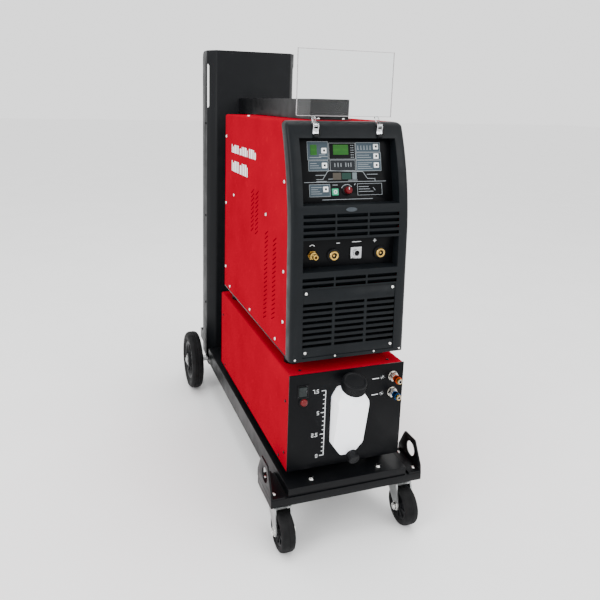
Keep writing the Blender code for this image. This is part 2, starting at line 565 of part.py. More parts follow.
def build_control_panel():
    face, up_panel = panel_face()
    half_height = (Vector(PANEL_HEAD) - Vector(PANEL_FOOT)).length / 2
    panel = box("control_panel", (-RECESS_HALF + GAP, -half_height + 0.8, GAP),
                (RECESS_HALF - GAP, half_height - 1.0, GAP + PANEL_SHEET), face)
    keys = [(f"key_{number}", at, WHITE_SIDE / 2, WHITE_PLASTIC) for number, at in enumerate(WHITE_KEYS, 1)]
    keys.append(("key_green", GREEN_KEY_AT, GREEN_SIDE / 2, GREEN_PLASTIC))
    tools = []
    for name, (x, z), half, plastic in keys:
        y, hole = up_panel(z), half + 0.4
        tools.append(box(f"{name}_hole", (x - hole, y - hole, -5), (x + hole, y + hole, 9), face))
        key = box(name, (x - half, y - half, KEY_LOW), (x + half, y + half, KEY_HIGH), face)
        finish(soften(key, 0.8, 1), plastic)
    x, y = KNOB_AT[0], up_panel(KNOB_AT[1])
    tools.append(rod("knob_hole", 4, 20, (x, y, -5), parent=face, steps=20))
    finish(cut(panel, *tools), DARK_PLASTIC)
    profile = [(0, 15.4), (7.4, 15.4), (8.6, 14.2), (9.4, 6), (12, 4), (12, 3), (3.4, 3), (3.4, -4), (0, -4)]
    finish(turned("control_knob", profile, (x, y, 0), parent=face, steps=24), KNOB_RED)


def build_connectors():
    low, high = SOCKET_BAY
    seat = SOCKET_FLOOR - GAP - SOCKET_PLATE
    plate = box("connector_plate", (-RECESS_HALF + GAP, seat, low + BAY_LIP + GAP),
                (RECESS_HALF - GAP, SOCKET_FLOOR - GAP, high - GAP))
    face = frame("socket_face", (0, seat, SOCKET_Z), (90, 0, 0))
    finish(plate, BLACK_PAINT)
    socket = [(6.5, 8.5), (10.5, 8.5), (11.5, 7.5), (11.5, 5), (15, 4.5), (16, 3), (16, GAP), (0, GAP),
              (0, 1.5), (6.5, 1.5)]
    for name, x in SOCKETS.items():
        finish(turned(f"socket_{name}", socket, (x, 0, 0), parent=face, steps=24), BRASS)
    gas = [(3.5, 27), (6, 27), (7, 25), (7, 14), (9, 14), (9, 4), (11, 4), (11, GAP), (0, GAP), (0, 8),
           (3.5, 8)]
    finish(turned("gas_outlet", gas, (GAS_AT[0], GAS_AT[1] - SOCKET_Z, 0), parent=face, steps=24), BRASS)
    x, y, half = CONTROL_AT[0], CONTROL_AT[1] - SOCKET_Z, 14.0
    housing = box("control_socket", (x - half, y - half, GAP), (x + half, y + half, 3.5), face)
    ring = rod("control_socket_ring", 8.5, 8, (x, y, 1), parent=face, steps=24)
    well = rod("control_socket_well", 6.5, 12, (x, y, 3), parent=face, steps=24)
    finish(cut(join(housing, ring), well), ALUMINIUM)


def build_clear_cover():
    y, z = FLAP_AXIS
    pivot = frame("flap_axis", (0, y, z))
    back, half = FLAP_BACK, FLAP_SHEET / 2
    cover = box("clear_cover", (-FLAP_HALF, back - half, FLAP_NEAR), (FLAP_HALF, back + half, FLAP_FAR), pivot)
    slant = half * cos(pi / 4)
    leg = [(-slant, slant), (slant, -slant), (back + half, back - 2 * slant), (back + half, FLAP_NEAR + 4),
           (back - half, FLAP_NEAR + 4), (back - half, back)]
    tools, bores = [], []
    for side, x in zip(("left", "right"), HINGE_X):
        tools.append(prism(f"flap_leg_{side}", leg, x - TAB_HALF, x + TAB_HALF, SIDE, pivot))
        end = (x - TAB_HALF, 0, 0)
        tools.append(rod(f"flap_knuckle_{side}", 4, 2 * TAB_HALF, end, (0, 90, 0), pivot, steps=20))
        bores.append(rod(f"flap_bore_{side}", 2.4, 20, (x - 10, 0, 0), (0, 90, 0), pivot, steps=16))
    finish(cut(join(cover, *tools), *bores), CLEAR)
    build_hinges(atan2(BEZEL_BROW[0] - BEZEL_BEND[0], BEZEL_BROW[1] - BEZEL_BEND[1]))


def build_hinges(lean):
    """A pin between two cheeks on a strap that lies on the brow, for each tab of the cover."""
    cheek = rounded([(-3, 3, 2), (-3, -4, 2), (3.4, -13), (3.9, -20), (6.3, -20), (6.3, -4), (3, 3, 2)])
    inner, outer = TAB_HALF + 0.5, TAB_HALF + 2.5
    for side, x in zip(("left", "right"), HINGE_X):
        base = frame(f"hinge_base_{side}", (x, *FLAP_AXIS), (-degrees(lean), 0, 0))
        pin = rod(f"hinge_{side}", 2, 2 * outer, (-outer, 0, 0), (0, 90, 0), base, steps=16)
        cheeks = [prism(f"hinge_cheek_{side}_{name}", cheek, low, low + outer - inner, SIDE, base)
                  for name, low in (("a", -outer), ("b", inner))]
        strap = box(f"hinge_strap_{side}", (-outer, 3.9, -20), (outer, 6.3, -7), base)
        finish(join(pin, *cheeks, strap), CHROME)


def build_welder_body():
    half, top, back = WELDER_HALF, WELDER_TOP, WELDER_BACK
    skirt = WELDER_BOTTOM + 3.3
    outline = rounded([(half, skirt), (half, top, 6), (-half, top, 6), (-half, skirt)])
    cover = folded("welder_cover", outline, -back, 0, COVER_SHEET, FRONT)
    finish(cut(cover, seam("cover_seam", GAP)), RED_PAINT)
    base = box("welder_base", (-half, face_y(WELDER_BOTTOM) + BEZEL_DEPTH + GAP, WELDER_BOTTOM),
               (half, back, WELDER_BOTTOM + 3))
    rise = WELDER_BOTTOM - COOLER_HEIGHT - GAP + 1
    feet = [rod(f"welder_foot_{x}_{y}", FOOT_RADIUS, rise, (x, y, COOLER_HEIGHT + GAP), steps=24)
            for x in (-115, 115) for y in (80, 570)]
    finish(join(base, *feet), BLACK_PAINT)
    inside = half - COVER_SHEET - GAP
    rear = box("rear_panel", (-inside, back - 4, WELDER_BOTTOM + 3.3), (inside, back - 1, top - 4.6))
    grille = slots("rear_grille", (0,), [430 + 13 * row for row in range(13)], 170, 6, (back - 10, back + 5))
    finish(cut(rear, grille), BLACK_PAINT)


def build_welder_inside():
    sink = box("heatsink", (-60, 200, 400), (60, 480, 480))
    fins = slots("heatsink_fins", [-52 + 13 * fin for fin in range(9)], (460,), 8, 60, (190, 490))
    finish(cut(sink, fins), ALUMINIUM)
    build_fan("welder_fan", *WELDER_FAN)


def build_rear_fittings():
    back = WELDER_BACK - 1 + GAP
    switch = rod("mains_switch", 20, 6, (-70, back, 725), (-90, 0, 0), steps=32)
    grip = box("switch_grip", (-5, -19, 2), (5, 19, 20), switch)
    finish(join(switch, soften(grip, 1.5, 1)), BLACK_PLASTIC)
    gland = rod("cable_gland", 17, 8, (70, back, 720), (-90, 0, 0), steps=6)
    dome = rod("gland_dome", 14, 22, (70, back, 720), (-90, 0, 0), top=10, steps=24)
    bore = rod("gland_bore", 7, 30, (70, back + 2, 720), (-90, 0, 0), steps=16)
    finish(cut(join(gland, dome), bore), BLACK_PLASTIC)


def build_top_bracket():
    half, front, low, high = BRACKET_HALF, BRACKET_FRONT, WELDER_TOP + GAP, BRACKET_TOP
    bracket = box("top_bracket", (-half, front, low), (half, TRAY_BACK, high))
    hollow = box("bracket_hollow", (-half + COVER_SHEET, front + COVER_SHEET, low - PAST),
                 (half - COVER_SHEET, TRAY_BACK + PAST, high - COVER_SHEET))
    foot = box("bracket_foot", (-half, front - 18, low), (half, front + 1, low + COVER_SHEET))
    finish(join(cut(bracket, hollow), foot), BLACK_PAINT)


clear_scene()
PARTS = new_collection("tig_welder")
CUTTERS = new_collection("cutters")

RED_PAINT = make_material("red_paint", (0.78, 0.012, 0.02), 0.32)
BLACK_PAINT = make_material("black_paint", (0.022, 0.023, 0.026), 0.5)
DARK_PLASTIC = make_material("dark_plastic", (0.035, 0.042, 0.05), 0.42)
BLACK_PLASTIC = make_material("black_plastic", (0.02, 0.021, 0.024), 0.5)
GREY_PLASTIC = make_material("grey_plastic", (0.16, 0.18, 0.18), 0.45)
WHITE_PLASTIC = make_material("white_plastic", (0.75, 0.77, 0.76), 0.4)
GREEN_PLASTIC = make_material("green_plastic", (0.03, 0.35, 0.12), 0.4)
KNOB_RED = make_material("knob_red", (0.6, 0.03, 0.03), 0.4)
RED_LENS = make_material("red_lens", (0.7, 0.01, 0.01), 0.15)
TANK_PLASTIC = make_material("tank_plastic", (0.82, 0.84, 0.88), 0.4)
RUBBER = make_material("rubber", (0.018, 0.018, 0.019), 0.75)
STEEL = make_material("steel", (0.52, 0.53, 0.54), 0.35, 1.0)
CHROME = make_material("chrome", (0.75, 0.76, 0.78), 0.15, 1.0)
NICKEL = make_material("nickel", (0.72, 0.7, 0.66), 0.25, 1.0)
BRASS = make_material("brass", (0.8, 0.58, 0.22), 0.28, 1.0)
ALUMINIUM = make_material("aluminium", (0.72, 0.73, 0.75), 0.35, 1.0)
CLEAR = make_material("clear_plastic", (0.9, 0.94, 0.95), 0.05, 0.0, 0.2)
COLLAR = {"red": make_material("collar_red", (0.75, 0.08, 0.03), 0.35),
          "blue": make_material("collar_blue", (0.03, 0.14, 0.42), 0.35)}

MACHINE = bpy.data.objects.new("machine", None)
PARTS.objects.link(MACHINE)
place(MACHINE, (0, -461.5, -FLOOR_Z))

build_tray()
build_crossbeam()
for side, sign in (("left", -1), ("right", 1)):
    build_lug(side, sign)
    build_caster(side, sign)
build_column()
build_platform()
build_rear_wheels()
build_cooler_body()
build_tank()
for colour in COUPLING_Z:
    build_coupling(colour)
build_cooler_controls()
build_cooler_inside()
build_bezel()
build_control_panel()
build_connectors()
build_clear_cover()
build_welder_body()
build_welder_inside()
build_rear_fittings()
build_top_bracket()
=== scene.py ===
"""Looks of the TIG welding set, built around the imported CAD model.

Lengths are in millimetres in the machine frame: X right seen from the front, Y back and Z up,
from the middle of the bottom edge of the cooler's front panel.
"""
import json
from math import cos, pi, radians, sin

import bmesh
import bpy
from mathutils import Matrix, Vector
from mathutils.bvhtree import BVHTree

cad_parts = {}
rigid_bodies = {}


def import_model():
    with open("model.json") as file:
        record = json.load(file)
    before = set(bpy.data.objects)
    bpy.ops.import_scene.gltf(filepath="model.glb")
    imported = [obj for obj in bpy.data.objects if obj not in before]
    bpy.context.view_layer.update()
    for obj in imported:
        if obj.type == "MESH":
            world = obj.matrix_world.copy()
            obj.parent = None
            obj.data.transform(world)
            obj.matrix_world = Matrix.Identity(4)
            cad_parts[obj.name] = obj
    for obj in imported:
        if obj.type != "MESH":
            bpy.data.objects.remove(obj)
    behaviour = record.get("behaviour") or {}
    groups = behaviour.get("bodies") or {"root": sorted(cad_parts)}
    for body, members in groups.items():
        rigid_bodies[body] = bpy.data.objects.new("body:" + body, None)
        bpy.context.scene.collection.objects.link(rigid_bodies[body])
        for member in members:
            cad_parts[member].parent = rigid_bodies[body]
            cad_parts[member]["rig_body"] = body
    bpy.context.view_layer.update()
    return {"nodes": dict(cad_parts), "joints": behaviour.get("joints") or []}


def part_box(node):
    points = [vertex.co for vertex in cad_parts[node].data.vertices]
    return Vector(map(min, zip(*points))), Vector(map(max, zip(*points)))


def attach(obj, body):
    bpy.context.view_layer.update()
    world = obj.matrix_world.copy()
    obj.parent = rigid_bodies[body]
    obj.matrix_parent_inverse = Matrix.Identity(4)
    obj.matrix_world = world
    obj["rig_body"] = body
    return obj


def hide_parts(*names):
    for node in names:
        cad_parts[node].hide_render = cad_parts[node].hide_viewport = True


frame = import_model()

MM = 0.001
BEZEL_FLANK = 130.0

VENT_ROWS = [614.7 - 14.5 * row for row in range(4)] + [468.9, 454.8]
GRILLE_ROWS = [409.6 - 14.05 * row for row in range(8)]
LOUVRE_PITCH, LOUVRE_TURN = 11.7, 30
LOUVRE_COLUMNS = ((205, 320, 20), (140, 340, 18), (330, 525, 10), (290, 525, 10))
STRIPE_ROWS = ((551, 287, 714, 738), (549, 367, 659, 691))


def middle(node):
    low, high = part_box(node)
    return (low + high) / 2


panel_low, panel_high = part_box("cooler_front_panel")
ORIGIN = Vector(((panel_low.x + panel_high.x) / 2, panel_low.y, panel_low.z))
BASE = Matrix.Translation(ORIGIN) @ Matrix.Scale(MM, 4)


def mm(point):
    """A world point in the machine frame's millimetres."""
    return (Vector(point) - ORIGIN) / MM


def centre_of(node):
    """A node's middle in the machine frame's millimetres."""
    return mm(middle(node))


def facing(origin, right, up):
    """Frame in millimetres whose local X and Y are the given directions and whose Z points out."""
    right, up = Vector(right).normalized(), Vector(up).normalized()
    out = right.cross(up)
    turn = Matrix((right, up, out)).transposed().to_4x4()
    return BASE @ Matrix.Translation(Vector(origin)) @ turn


def front(x, y, z):
    return facing((x, y, z), (1, 0, 0), (0, 0, 1))


def left_side(y, z, x):
    return facing((x, y, z), (0, -1, 0), (0, 0, 1))


def right_side(y, z, x):
    return facing((x, y, z), (0, 1, 0), (0, 0, 1))


def back(x, y, z):
    return facing((x, y, z), (-1, 0, 0), (0, 0, 1))


def upward(x, y, z):
    return facing((x, y, z), (1, 0, 0), (0, 1, 0))


def surface(node):
    """What rays are cast against to find a node's surface."""
    obj = frame["nodes"][node]
    bm = bmesh.new()
    bm.from_mesh(obj.data)
    bmesh.ops.transform(bm, matrix=obj.matrix_world, verts=bm.verts)
    tree = BVHTree.FromBMesh(bm)
    bm.free()
    return tree


BEZEL_FRONT = surface("front_bezel")


def on_bezel(x, z, out=0.0):
    """Frame on the front of the bezel, which leans back towards its top."""
    at, normal, _, _ = BEZEL_FRONT.ray_cast(BASE @ Vector((BEZEL_FLANK, -200, z)), Vector((0, 1, 0)))
    origin = Vector((x, mm(at).y, z)) + normal * out
    return facing(origin, (1, 0, 0), normal.cross(Vector((1, 0, 0))))


# Materials ------------------------------------------------


class Shader:
    """A Principled material with noise-driven colour, roughness and bump."""

    def __init__(self, name, colour, roughness, metallic=0.0, specular=0.5):
        self.material = bpy.data.materials.new(name)
        self.material.use_nodes = True
        self.tree = self.material.node_tree
        self.bsdf = self.tree.nodes["Principled BSDF"]
        self.colour = colour
        self.set("Base Color", (*colour, 1))
        self.set("Roughness", roughness)
        self.set("Metallic", metallic)
        self.set("Specular IOR Level", specular)
        self.coords = self.tree.nodes.new("ShaderNodeTexCoord").outputs["Object"]
        self.height = None

    def set(self, socket, value):
        self.bsdf.inputs[socket].default_value = value
        return self

    def node(self, kind, **values):
        made = self.tree.nodes.new(kind)
        for key, value in values.items():
            setattr(made, key, value)
        return made

    def link(self, output, socket):
        self.tree.links.new(output, socket)

    def noise(self, scale, detail=4.0, stretch=None, distortion=0.0):
        texture = self.node("ShaderNodeTexNoise")
        texture.inputs["Scale"].default_value = scale
        texture.inputs["Detail"].default_value = detail
        texture.inputs["Distortion"].default_value = distortion
        source = self.coords
        if stretch:
            mapping = self.node("ShaderNodeMapping")
            mapping.inputs["Scale"].default_value = stretch
            self.link(source, mapping.inputs["Vector"])
            source = mapping.outputs["Vector"]
        self.link(source, texture.inputs["Vector"])
        return texture.outputs["Fac"]

    def spread(self, value, low, high, start=0.3, end=0.7):
        """Map the middle range of a noise onto low to high."""
        remap = self.node("ShaderNodeMapRange")
        for socket, number in (("From Min", start), ("From Max", end), ("To Min", low), ("To Max", high)):
            remap.inputs[socket].default_value = number
        self.link(value, remap.inputs["Value"])
        return remap.outputs["Result"]

    def vary_colour(self, value, other, start=0.35, end=0.7):
        """Blend the base colour towards another by a noise; later calls blend on top."""
        mix = self.node("ShaderNodeMix", data_type="RGBA")
        fac = self.spread(value, 0.0, 1.0, start, end)
        self.link(fac, mix.inputs["Factor"])
        present = self.bsdf.inputs["Base Color"]
        if present.is_linked:
            self.link(present.links[0].from_socket, mix.inputs["A"])
        else:
            mix.inputs["A"].default_value = (*self.colour, 1)
        mix.inputs["B"].default_value = (*other, 1)
        self.link(mix.outputs["Result"], present)
        return self

    def vary_roughness(self, value, low, high):
        self.link(self.spread(value, low, high), self.bsdf.inputs["Roughness"])
        return self

    def bump(self, value, distance, strength=1.0):
        made = self.node("ShaderNodeBump")
        made.inputs["Distance"].default_value = distance * MM
        made.inputs["Strength"].default_value = strength
        self.link(value, made.inputs["Height"])
        if self.height:
            self.link(self.height, made.inputs["Normal"])
        self.height = made.outputs["Normal"]
        self.link(self.height, self.bsdf.inputs["Normal"])
        return self


def shade(colour, factor):
    return tuple(min(1.0, channel * factor) for channel in colour)


def powder_coat(name, colour, roughness, peel, specular=0.25):
    """Baked powder paint: orange peel, slight unevenness, faint dust and rub marks."""
    made = Shader(name, colour, roughness, specular=specular)
    made.vary_colour(made.noise(9, 5), shade(colour, 0.86))
    made.vary_colour(made.noise(60, 8, distortion=0.6), shade(colour, 1.25), 0.6, 0.85)
    made.vary_roughness(made.noise(22, 6), roughness - 0.07, roughness + 0.08)
    made.bump(made.noise(420, 2), peel, 0.5)
    made.bump(made.noise(1500, 2), peel * 0.25, 0.5)
    return made.material


def moulding(name, colour, roughness, grain=0.05, scale=1400):
    """Moulded plastic with a spark-eroded grain."""
    made = Shader(name, colour, roughness, specular=0.12)
    made.vary_colour(made.noise(12, 5), shade(colour, 1.22))
    made.vary_colour(made.noise(90, 7), shade(colour, 0.8), 0.55, 0.8)
    made.vary_roughness(made.noise(35, 6), roughness - 0.08, roughness + 0.09)
    made.bump(made.noise(scale, 3), grain, 0.6)
    return made.material


def plated(name, colour, roughness, streak=(1, 1, 12), grain=0.02):
    """Plated or turned metal with fine streaks and cloudy tarnish."""
    made = Shader(name, colour, roughness, 1.0)
    made.vary_colour(made.noise(30, 6), shade(colour, 0.72))
    made.vary_colour(made.noise(400, 3, streak), shade(colour, 1.15), 0.5, 0.8)
    made.vary_roughness(made.noise(70, 6, streak), max(0.05, roughness - 0.09), roughness + 0.1)
    made.bump(made.noise(600, 3, streak), grain, 0.5)
    return made.material


def rubber(name, colour, dust):
    made = Shader(name, colour, 0.72, specular=0.15)
    made.vary_colour(made.noise(25, 7), dust, 0.45, 0.95)
    made.vary_roughness(made.noise(60, 6), 0.6, 0.85)
    made.bump(made.noise(900, 4), 0.08, 0.6)
    made.bump(made.noise(120, 3), 0.12, 0.4)
    return made.material


def ink(name, colour, roughness=0.45):
    """Screen-printed ink with slightly uneven cover."""
    made = Shader(name, colour, roughness, specular=0.15)
    made.vary_colour(made.noise(700, 3), shade(colour, 0.82), 0.45, 0.8)
    made.vary_roughness(made.noise(300, 3), roughness - 0.08, roughness + 0.1)
    made.bump(made.noise(1600, 2), 0.02, 0.4)
    return made.material


def clear_sheet(name):
    """Clear acrylic with hairline scratches."""
    made = Shader(name, (0.96, 0.98, 0.98), 0.02)
    made.set("Transmission Weight", 1.0).set("IOR", 1.3).set("Specular IOR Level", 0.3)
    made.vary_roughness(made.noise(260, 8, (1, 9, 1)), 0.01, 0.06)
    return made.material


def clear_edge_highlight(name):
    """Sawn acrylic edge, greyer than the sheet, with a painted highlight for the light the edge gathers."""
    made = Shader(name, (0.50, 0.47, 0.48), 0.3)
    made.set("Transmission Weight", 0.25).set("IOR", 1.49)
    made.vary_roughness(made.noise(500, 4, (9, 1, 1)), 0.2, 0.45)
    made.bump(made.noise(900, 3, (9, 1, 1)), 0.03, 0.4)
    return made.material


def glowing_tank_wall(name):
    """Natural polyethylene: milky and a little blue, with some light scattered inside, and an even emission
    that adds a painted glow.
    """
    made = Shader(name, (0.9, 0.92, 0.98), 0.38, specular=0.3)
    made.set("Subsurface Weight", 0.4).set("Subsurface Scale", 0.02)
    made.set("Subsurface Radius", (0.8, 0.9, 1.0))
    # Painted glow: the tank emits light though it is no lamp, so it looks brighter.
    made.set("Emission Color", (0.9, 0.93, 1.0, 1)).set("Emission Strength", 0.55)
    made.vary_colour(made.noise(14, 4), (0.95, 0.96, 0.98))
    made.vary_roughness(made.noise(50, 5), 0.3, 0.46)
    made.bump(made.noise(45, 3), 0.25, 0.35)
    return made.material


def lens(name, colour, glow=0.0):
    made = Shader(name, colour, 0.12, specular=0.3)
    made.vary_colour(made.noise(320, 2), shade(colour, 0.7))
    made.vary_roughness(made.noise(90, 4), 0.06, 0.2)
    if glow:
        made.set("Emission Color", (*colour, 1)).set("Emission Strength", glow)
    return made.material


def display_glass(name):
    """Backlit liquid crystal with a grid of cells."""
    made = Shader(name, (0.006, 0.050, 0.006), 0.3, specular=0.1)
    brick = made.node("ShaderNodeTexVoronoi", feature="F1", distance="CHEBYCHEV")
    brick.inputs["Scale"].default_value = 420
    brick.inputs["Randomness"].default_value = 0.15
    made.link(made.coords, brick.inputs["Vector"])
    made.vary_colour(brick.outputs["Distance"], (0.020, 0.12, 0.010), 0.2, 0.6)
    made.vary_colour(made.noise(70, 3), (0.008, 0.07, 0.008), 0.45, 0.7)
    made.set("Emission Color", (0.02, 0.14, 0.01, 1)).set("Emission Strength", 0.2)
    return made.material


RED = powder_coat("red_paint", (0.30, 0.0, 0.011), 0.34, 0.05, 0.0)
BLACK = powder_coat("black_paint", (0.0030, 0.0033, 0.0040), 0.36, 0.12, 0.12)
COLUMN = powder_coat("column_paint", (0.0052, 0.0058, 0.0068), 0.42, 0.12, 0.10)
PANEL_BLACK = powder_coat("panel_black", (0.0022, 0.0025, 0.0032), 0.40, 0.06, 0.08)
BEZEL = moulding("bezel_plastic", (0.0040, 0.0052, 0.0064), 0.40)
BLACK_PLASTIC = moulding("black_plastic", (0.0045, 0.0048, 0.0055), 0.40)
GREY_PLASTIC = moulding("grey_plastic", (0.020, 0.024, 0.024), 0.45)
# Matt near-black painted as the shade behind the bezel's air slots.
DARK = moulding("painted_vent_shade", (0.004, 0.004, 0.005), 0.8)
RUBBER = rubber("rubber", (0.0036, 0.0037, 0.0041), (0.0095, 0.0095, 0.010))
ZINC = plated("zinc", (0.40, 0.41, 0.41), 0.34)
STEEL_BRIGHT = plated("screw_steel", (0.86, 0.86, 0.84), 0.25)
CHROME = plated("chrome", (0.66, 0.67, 0.69), 0.14)
NICKEL = plated("nickel", (0.55, 0.53, 0.49), 0.2)
BRASS = plated("brass", (0.58, 0.37, 0.10), 0.26)
ALUMINIUM = plated("aluminium", (0.55, 0.56, 0.58), 0.32)
BADGE = plated("badge_metal", (0.07, 0.08, 0.09), 0.4)
ANODISED = {"red": plated("red_anodised", (0.55, 0.06, 0.01), 0.3),
            "blue": plated("blue_anodised", (0.01, 0.07, 0.22), 0.3)}
WHITE_KEY = moulding("white_key", (0.78, 0.80, 0.80), 0.35, 0.02)
GREEN_KEY = moulding("green_key", (0.035, 0.30, 0.16), 0.35, 0.02)
KNOB = moulding("knob_red", (0.10, 0.003, 0.006), 0.3, 0.02)
WHITE_INK = ink("white_ink", (0.80, 0.82, 0.83))
PANEL_INK = ink("panel_ink", (0.30, 0.33, 0.35))
LABEL = ink("label_blue_grey", (0.040, 0.060, 0.076))
PALE_INK = ink("label_print", (0.12, 0.15, 0.16))
SHADE_INK = ink("diagram_shade", (0.055, 0.048, 0.038))
GREEN_INK = ink("diagram_green", (0.008, 0.034, 0.026))
# Tank plastic with a painted glow from emission.
GLOWING_TANK = glowing_tank_wall("tank_plastic")
# Dark red painted as the shade inside the louvre slits.
SLIT_SHADE = powder_coat("slit_shadow", (0.035, 0.0, 0.001), 0.5, 0.05, 0.0)
CLEAR = clear_sheet("clear_acrylic")
# Grey rim band: partly the frosted sawn edge, partly a painted highlight.
CLEAR_EDGE_HIGHLIGHT = clear_edge_highlight("clear_acrylic_edge_highlight")
RED_LENS = lens("red_lens", (0.10, 0.0, 0.001), 0.3)
DISPLAY = display_glass("display_glass")
LABEL_DARK = ink("label_dark", (0.008, 0.010, 0.013))


# Mesh helpers ---------------------------------------------


def finish_piece(name, bm, material, body="machine", bevel=0.0, segments=2, sharp=35):
    """Turn a bmesh in world metres into a piece that rides on a body."""
    bmesh.ops.recalc_face_normals(bm, faces=bm.faces)
    mesh = bpy.data.meshes.new(name)
    bm.to_mesh(mesh)
    bm.free()
    mesh.materials.append(material)
    obj = bpy.data.objects.new(name, mesh)
    bpy.context.scene.collection.objects.link(obj)
    mesh.shade_smooth()
    if bevel:
        rounding = obj.modifiers.new("rounding", "BEVEL")
        rounding.width = bevel * MM
        rounding.segments = segments
        rounding.limit_method = "ANGLE"
        rounding.angle_limit = radians(sharp)
        rounding.harden_normals = True
    else:
        mesh.set_sharp_from_angle(angle=radians(sharp))
    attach(obj, body)
    return obj


def body_of(node):
    return frame["nodes"][node]["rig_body"]


def skin(node, material, bevel=0.6, segments=2, sharp=30):
    """The node's own shape with its flat faces made whole and its edges rounded."""
    bm = bmesh.new()
    bm.from_mesh(frame["nodes"][node].data)
    bmesh.ops.remove_doubles(bm, verts=bm.verts, dist=0.00001)
    bmesh.ops.dissolve_limit(bm, angle_limit=radians(0.6), verts=bm.verts, edges=bm.edges)
    obj = finish_piece(f"{node}_skin", bm, material, body_of(node), bevel, segments, sharp)
    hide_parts(node)
    return obj


def add_box(bm, low, high, place=None):
    low, high = Vector(low), Vector(high)
    shape = Matrix.Translation((low + high) / 2) @ Matrix.Diagonal((*(high - low), 1))
    bmesh.ops.create_cube(bm, size=1.0, matrix=(place or BASE) @ shape)


def add_rod(bm, place, radius, low, high, steps=32, top=None):
    shape = Matrix.Translation((0, 0, (low + high) / 2))
    bmesh.ops.create_cone(bm, cap_ends=True, segments=steps, radius1=radius,
                          radius2=radius if top is None else top, depth=high - low, matrix=place @ shape)


def add_turned(bm, place, profile, steps=64):
    """A (radius, height) outline turned about the frame's Z; it closes on itself or on the axis."""
    rings = []
    for radius, height in profile:
        if radius == 0:
            rings.append([bm.verts.new(place @ Vector((0, 0, height)))] * steps)
        else:
            rings.append([bm.verts.new(place @ Vector((radius * cos(2 * pi * i / steps),
                                                       radius * sin(2 * pi * i / steps), height)))
                          for i in range(steps)])
    loops = list(zip(rings, rings[1:]))
    if profile[0][0] > 0 and profile[-1][0] > 0:
        loops.append((rings[-1], rings[0]))
    for first, second in loops:
        for i in range(steps):
            j = (i + 1) % steps
            corners = list(dict.fromkeys((first[i], first[j], second[j], second[i])))
            if len(corners) > 2:
                bm.faces.new(corners)


def add_prism(bm, place, outline, low, high):
    """A filled outline extruded between two heights of its frame."""
    bottom = [bm.verts.new(place @ Vector((x, y, low))) for x, y in outline]
    top = [bm.verts.new(place @ Vector((x, y, high))) for x, y in outline]
    bm.faces.new(list(reversed(bottom)))
    bm.faces.new(top)
    for i in range(len(outline)):
        j = (i + 1) % len(outline)
        bm.faces.new((bottom[i], bottom[j], top[j], top[i]))


def add_plate(bm, place, x0, y0, x1, y1, radius=1.0, low=-0.1, high=0.2):
    """A thin plate with rounded corners."""
    outline = []
    for cx, cy, start in ((x1 - radius, y0 + radius, -90), (x1 - radius, y1 - radius, 0),
                          (x0 + radius, y1 - radius, 90), (x0 + radius, y0 + radius, 180)):
        for step in range(4):
            angle = radians(start + 30 * step)
            outline.append((cx + radius * cos(angle), cy + radius * sin(angle)))
    add_prism(bm, place, outline, low, high)


def add_line(bm, place, points, width, low=-0.1, high=0.15, closed=False):
    """A printed line of constant width through flat points."""
    pairs = list(zip(points, points[1:] + points[:1] if closed else points[1:]))
    for (ax, ay), (bx, by) in pairs:
        a, b = Vector((ax, ay)), Vector((bx, by))
        along = (b - a).normalized() * width / 2
        side = Vector((-along.y, along.x))
        a, b = a - along, b + along
        add_prism(bm, place, [tuple(a - side), tuple(b - side), tuple(b + side), tuple(a + side)], low, high)


def hexagon(radius):
    return [(radius * cos(pi * k / 3), radius * sin(pi * k / 3)) for k in range(6)]


def ellipse(x, y, across, up, steps):
    return [(x + across * cos(2 * pi * k / steps), y + up * sin(2 * pi * k / steps)) for k in range(steps)]


def about_z(degrees):
    return Matrix.Rotation(radians(degrees), 4, "Z")


def joint_value(name, key):
    """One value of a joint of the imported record."""
    return Vector(next(joint[key] for joint in frame["joints"] if joint["name"] == name))


def screw_mesh():
    """Pan head with a cross recess, 7.6 mm wide, standing on Z = 0."""
    bm = bmesh.new()
    dome = [(0, 2.6), (1.6, 2.5), (2.9, 2.0), (3.6, 1.2), (3.8, 0.4), (3.8, 0), (0, 0)]
    add_turned(bm, Matrix(), dome, 24)
    bmesh.ops.recalc_face_normals(bm, faces=bm.faces)
    head = bpy.data.meshes.new("screw_head")
    bm.to_mesh(head)
    bm.free()
    bm = bmesh.new()
    for turn in (0, 90):
        add_box(bm, (-2.0, -0.4, 1.2), (2.0, 0.4, 3.2), about_z(turn))
    cross = bpy.data.meshes.new("screw_cross")
    bm.to_mesh(cross)
    bm.free()
    target = bpy.data.objects.new("screw_target", head)
    tool = bpy.data.objects.new("screw_tool", cross)
    for obj in (target, tool):
        bpy.context.scene.collection.objects.link(obj)
    cut = target.modifiers.new("recess", "BOOLEAN")
    cut.operation = "DIFFERENCE"
    cut.solver = "EXACT"
    cut.use_self = True
    cut.object = tool
    bpy.context.view_layer.update()
    made = bpy.data.meshes.new_from_object(target.evaluated_get(bpy.context.evaluated_depsgraph_get()))
    for obj in (target, tool):
        bpy.data.objects.remove(obj, do_unlink=True)
    return made


SCREW = screw_mesh()


def screws(name, places, material, size=1.0, body="machine"):
    bm = bmesh.new()
    for index, place in enumerate(places):
        start = len(bm.verts)
        bm.from_mesh(SCREW)
        bm.verts.ensure_lookup_table()
        turn = about_z(37 * index) @ Matrix.Scale(size, 4)
        bmesh.ops.transform(bm, matrix=place @ turn, verts=bm.verts[start:])
    return finish_piece(name, bm, material, body, sharp=40)


def bolts(name, places, material, radius=6.5, body="machine"):
    """Hexagon heads on washers."""
    bm = bmesh.new()
    for place in places:
        add_rod(bm, place, radius * 1.35, 0, 1.4)
        add_prism(bm, place, hexagon(radius), 1.4, radius * 0.85)
        add_rod(bm, place, radius * 0.78, radius * 0.85, radius * 0.95)
    return finish_piece(name, bm, material, body, 0.3, 2)


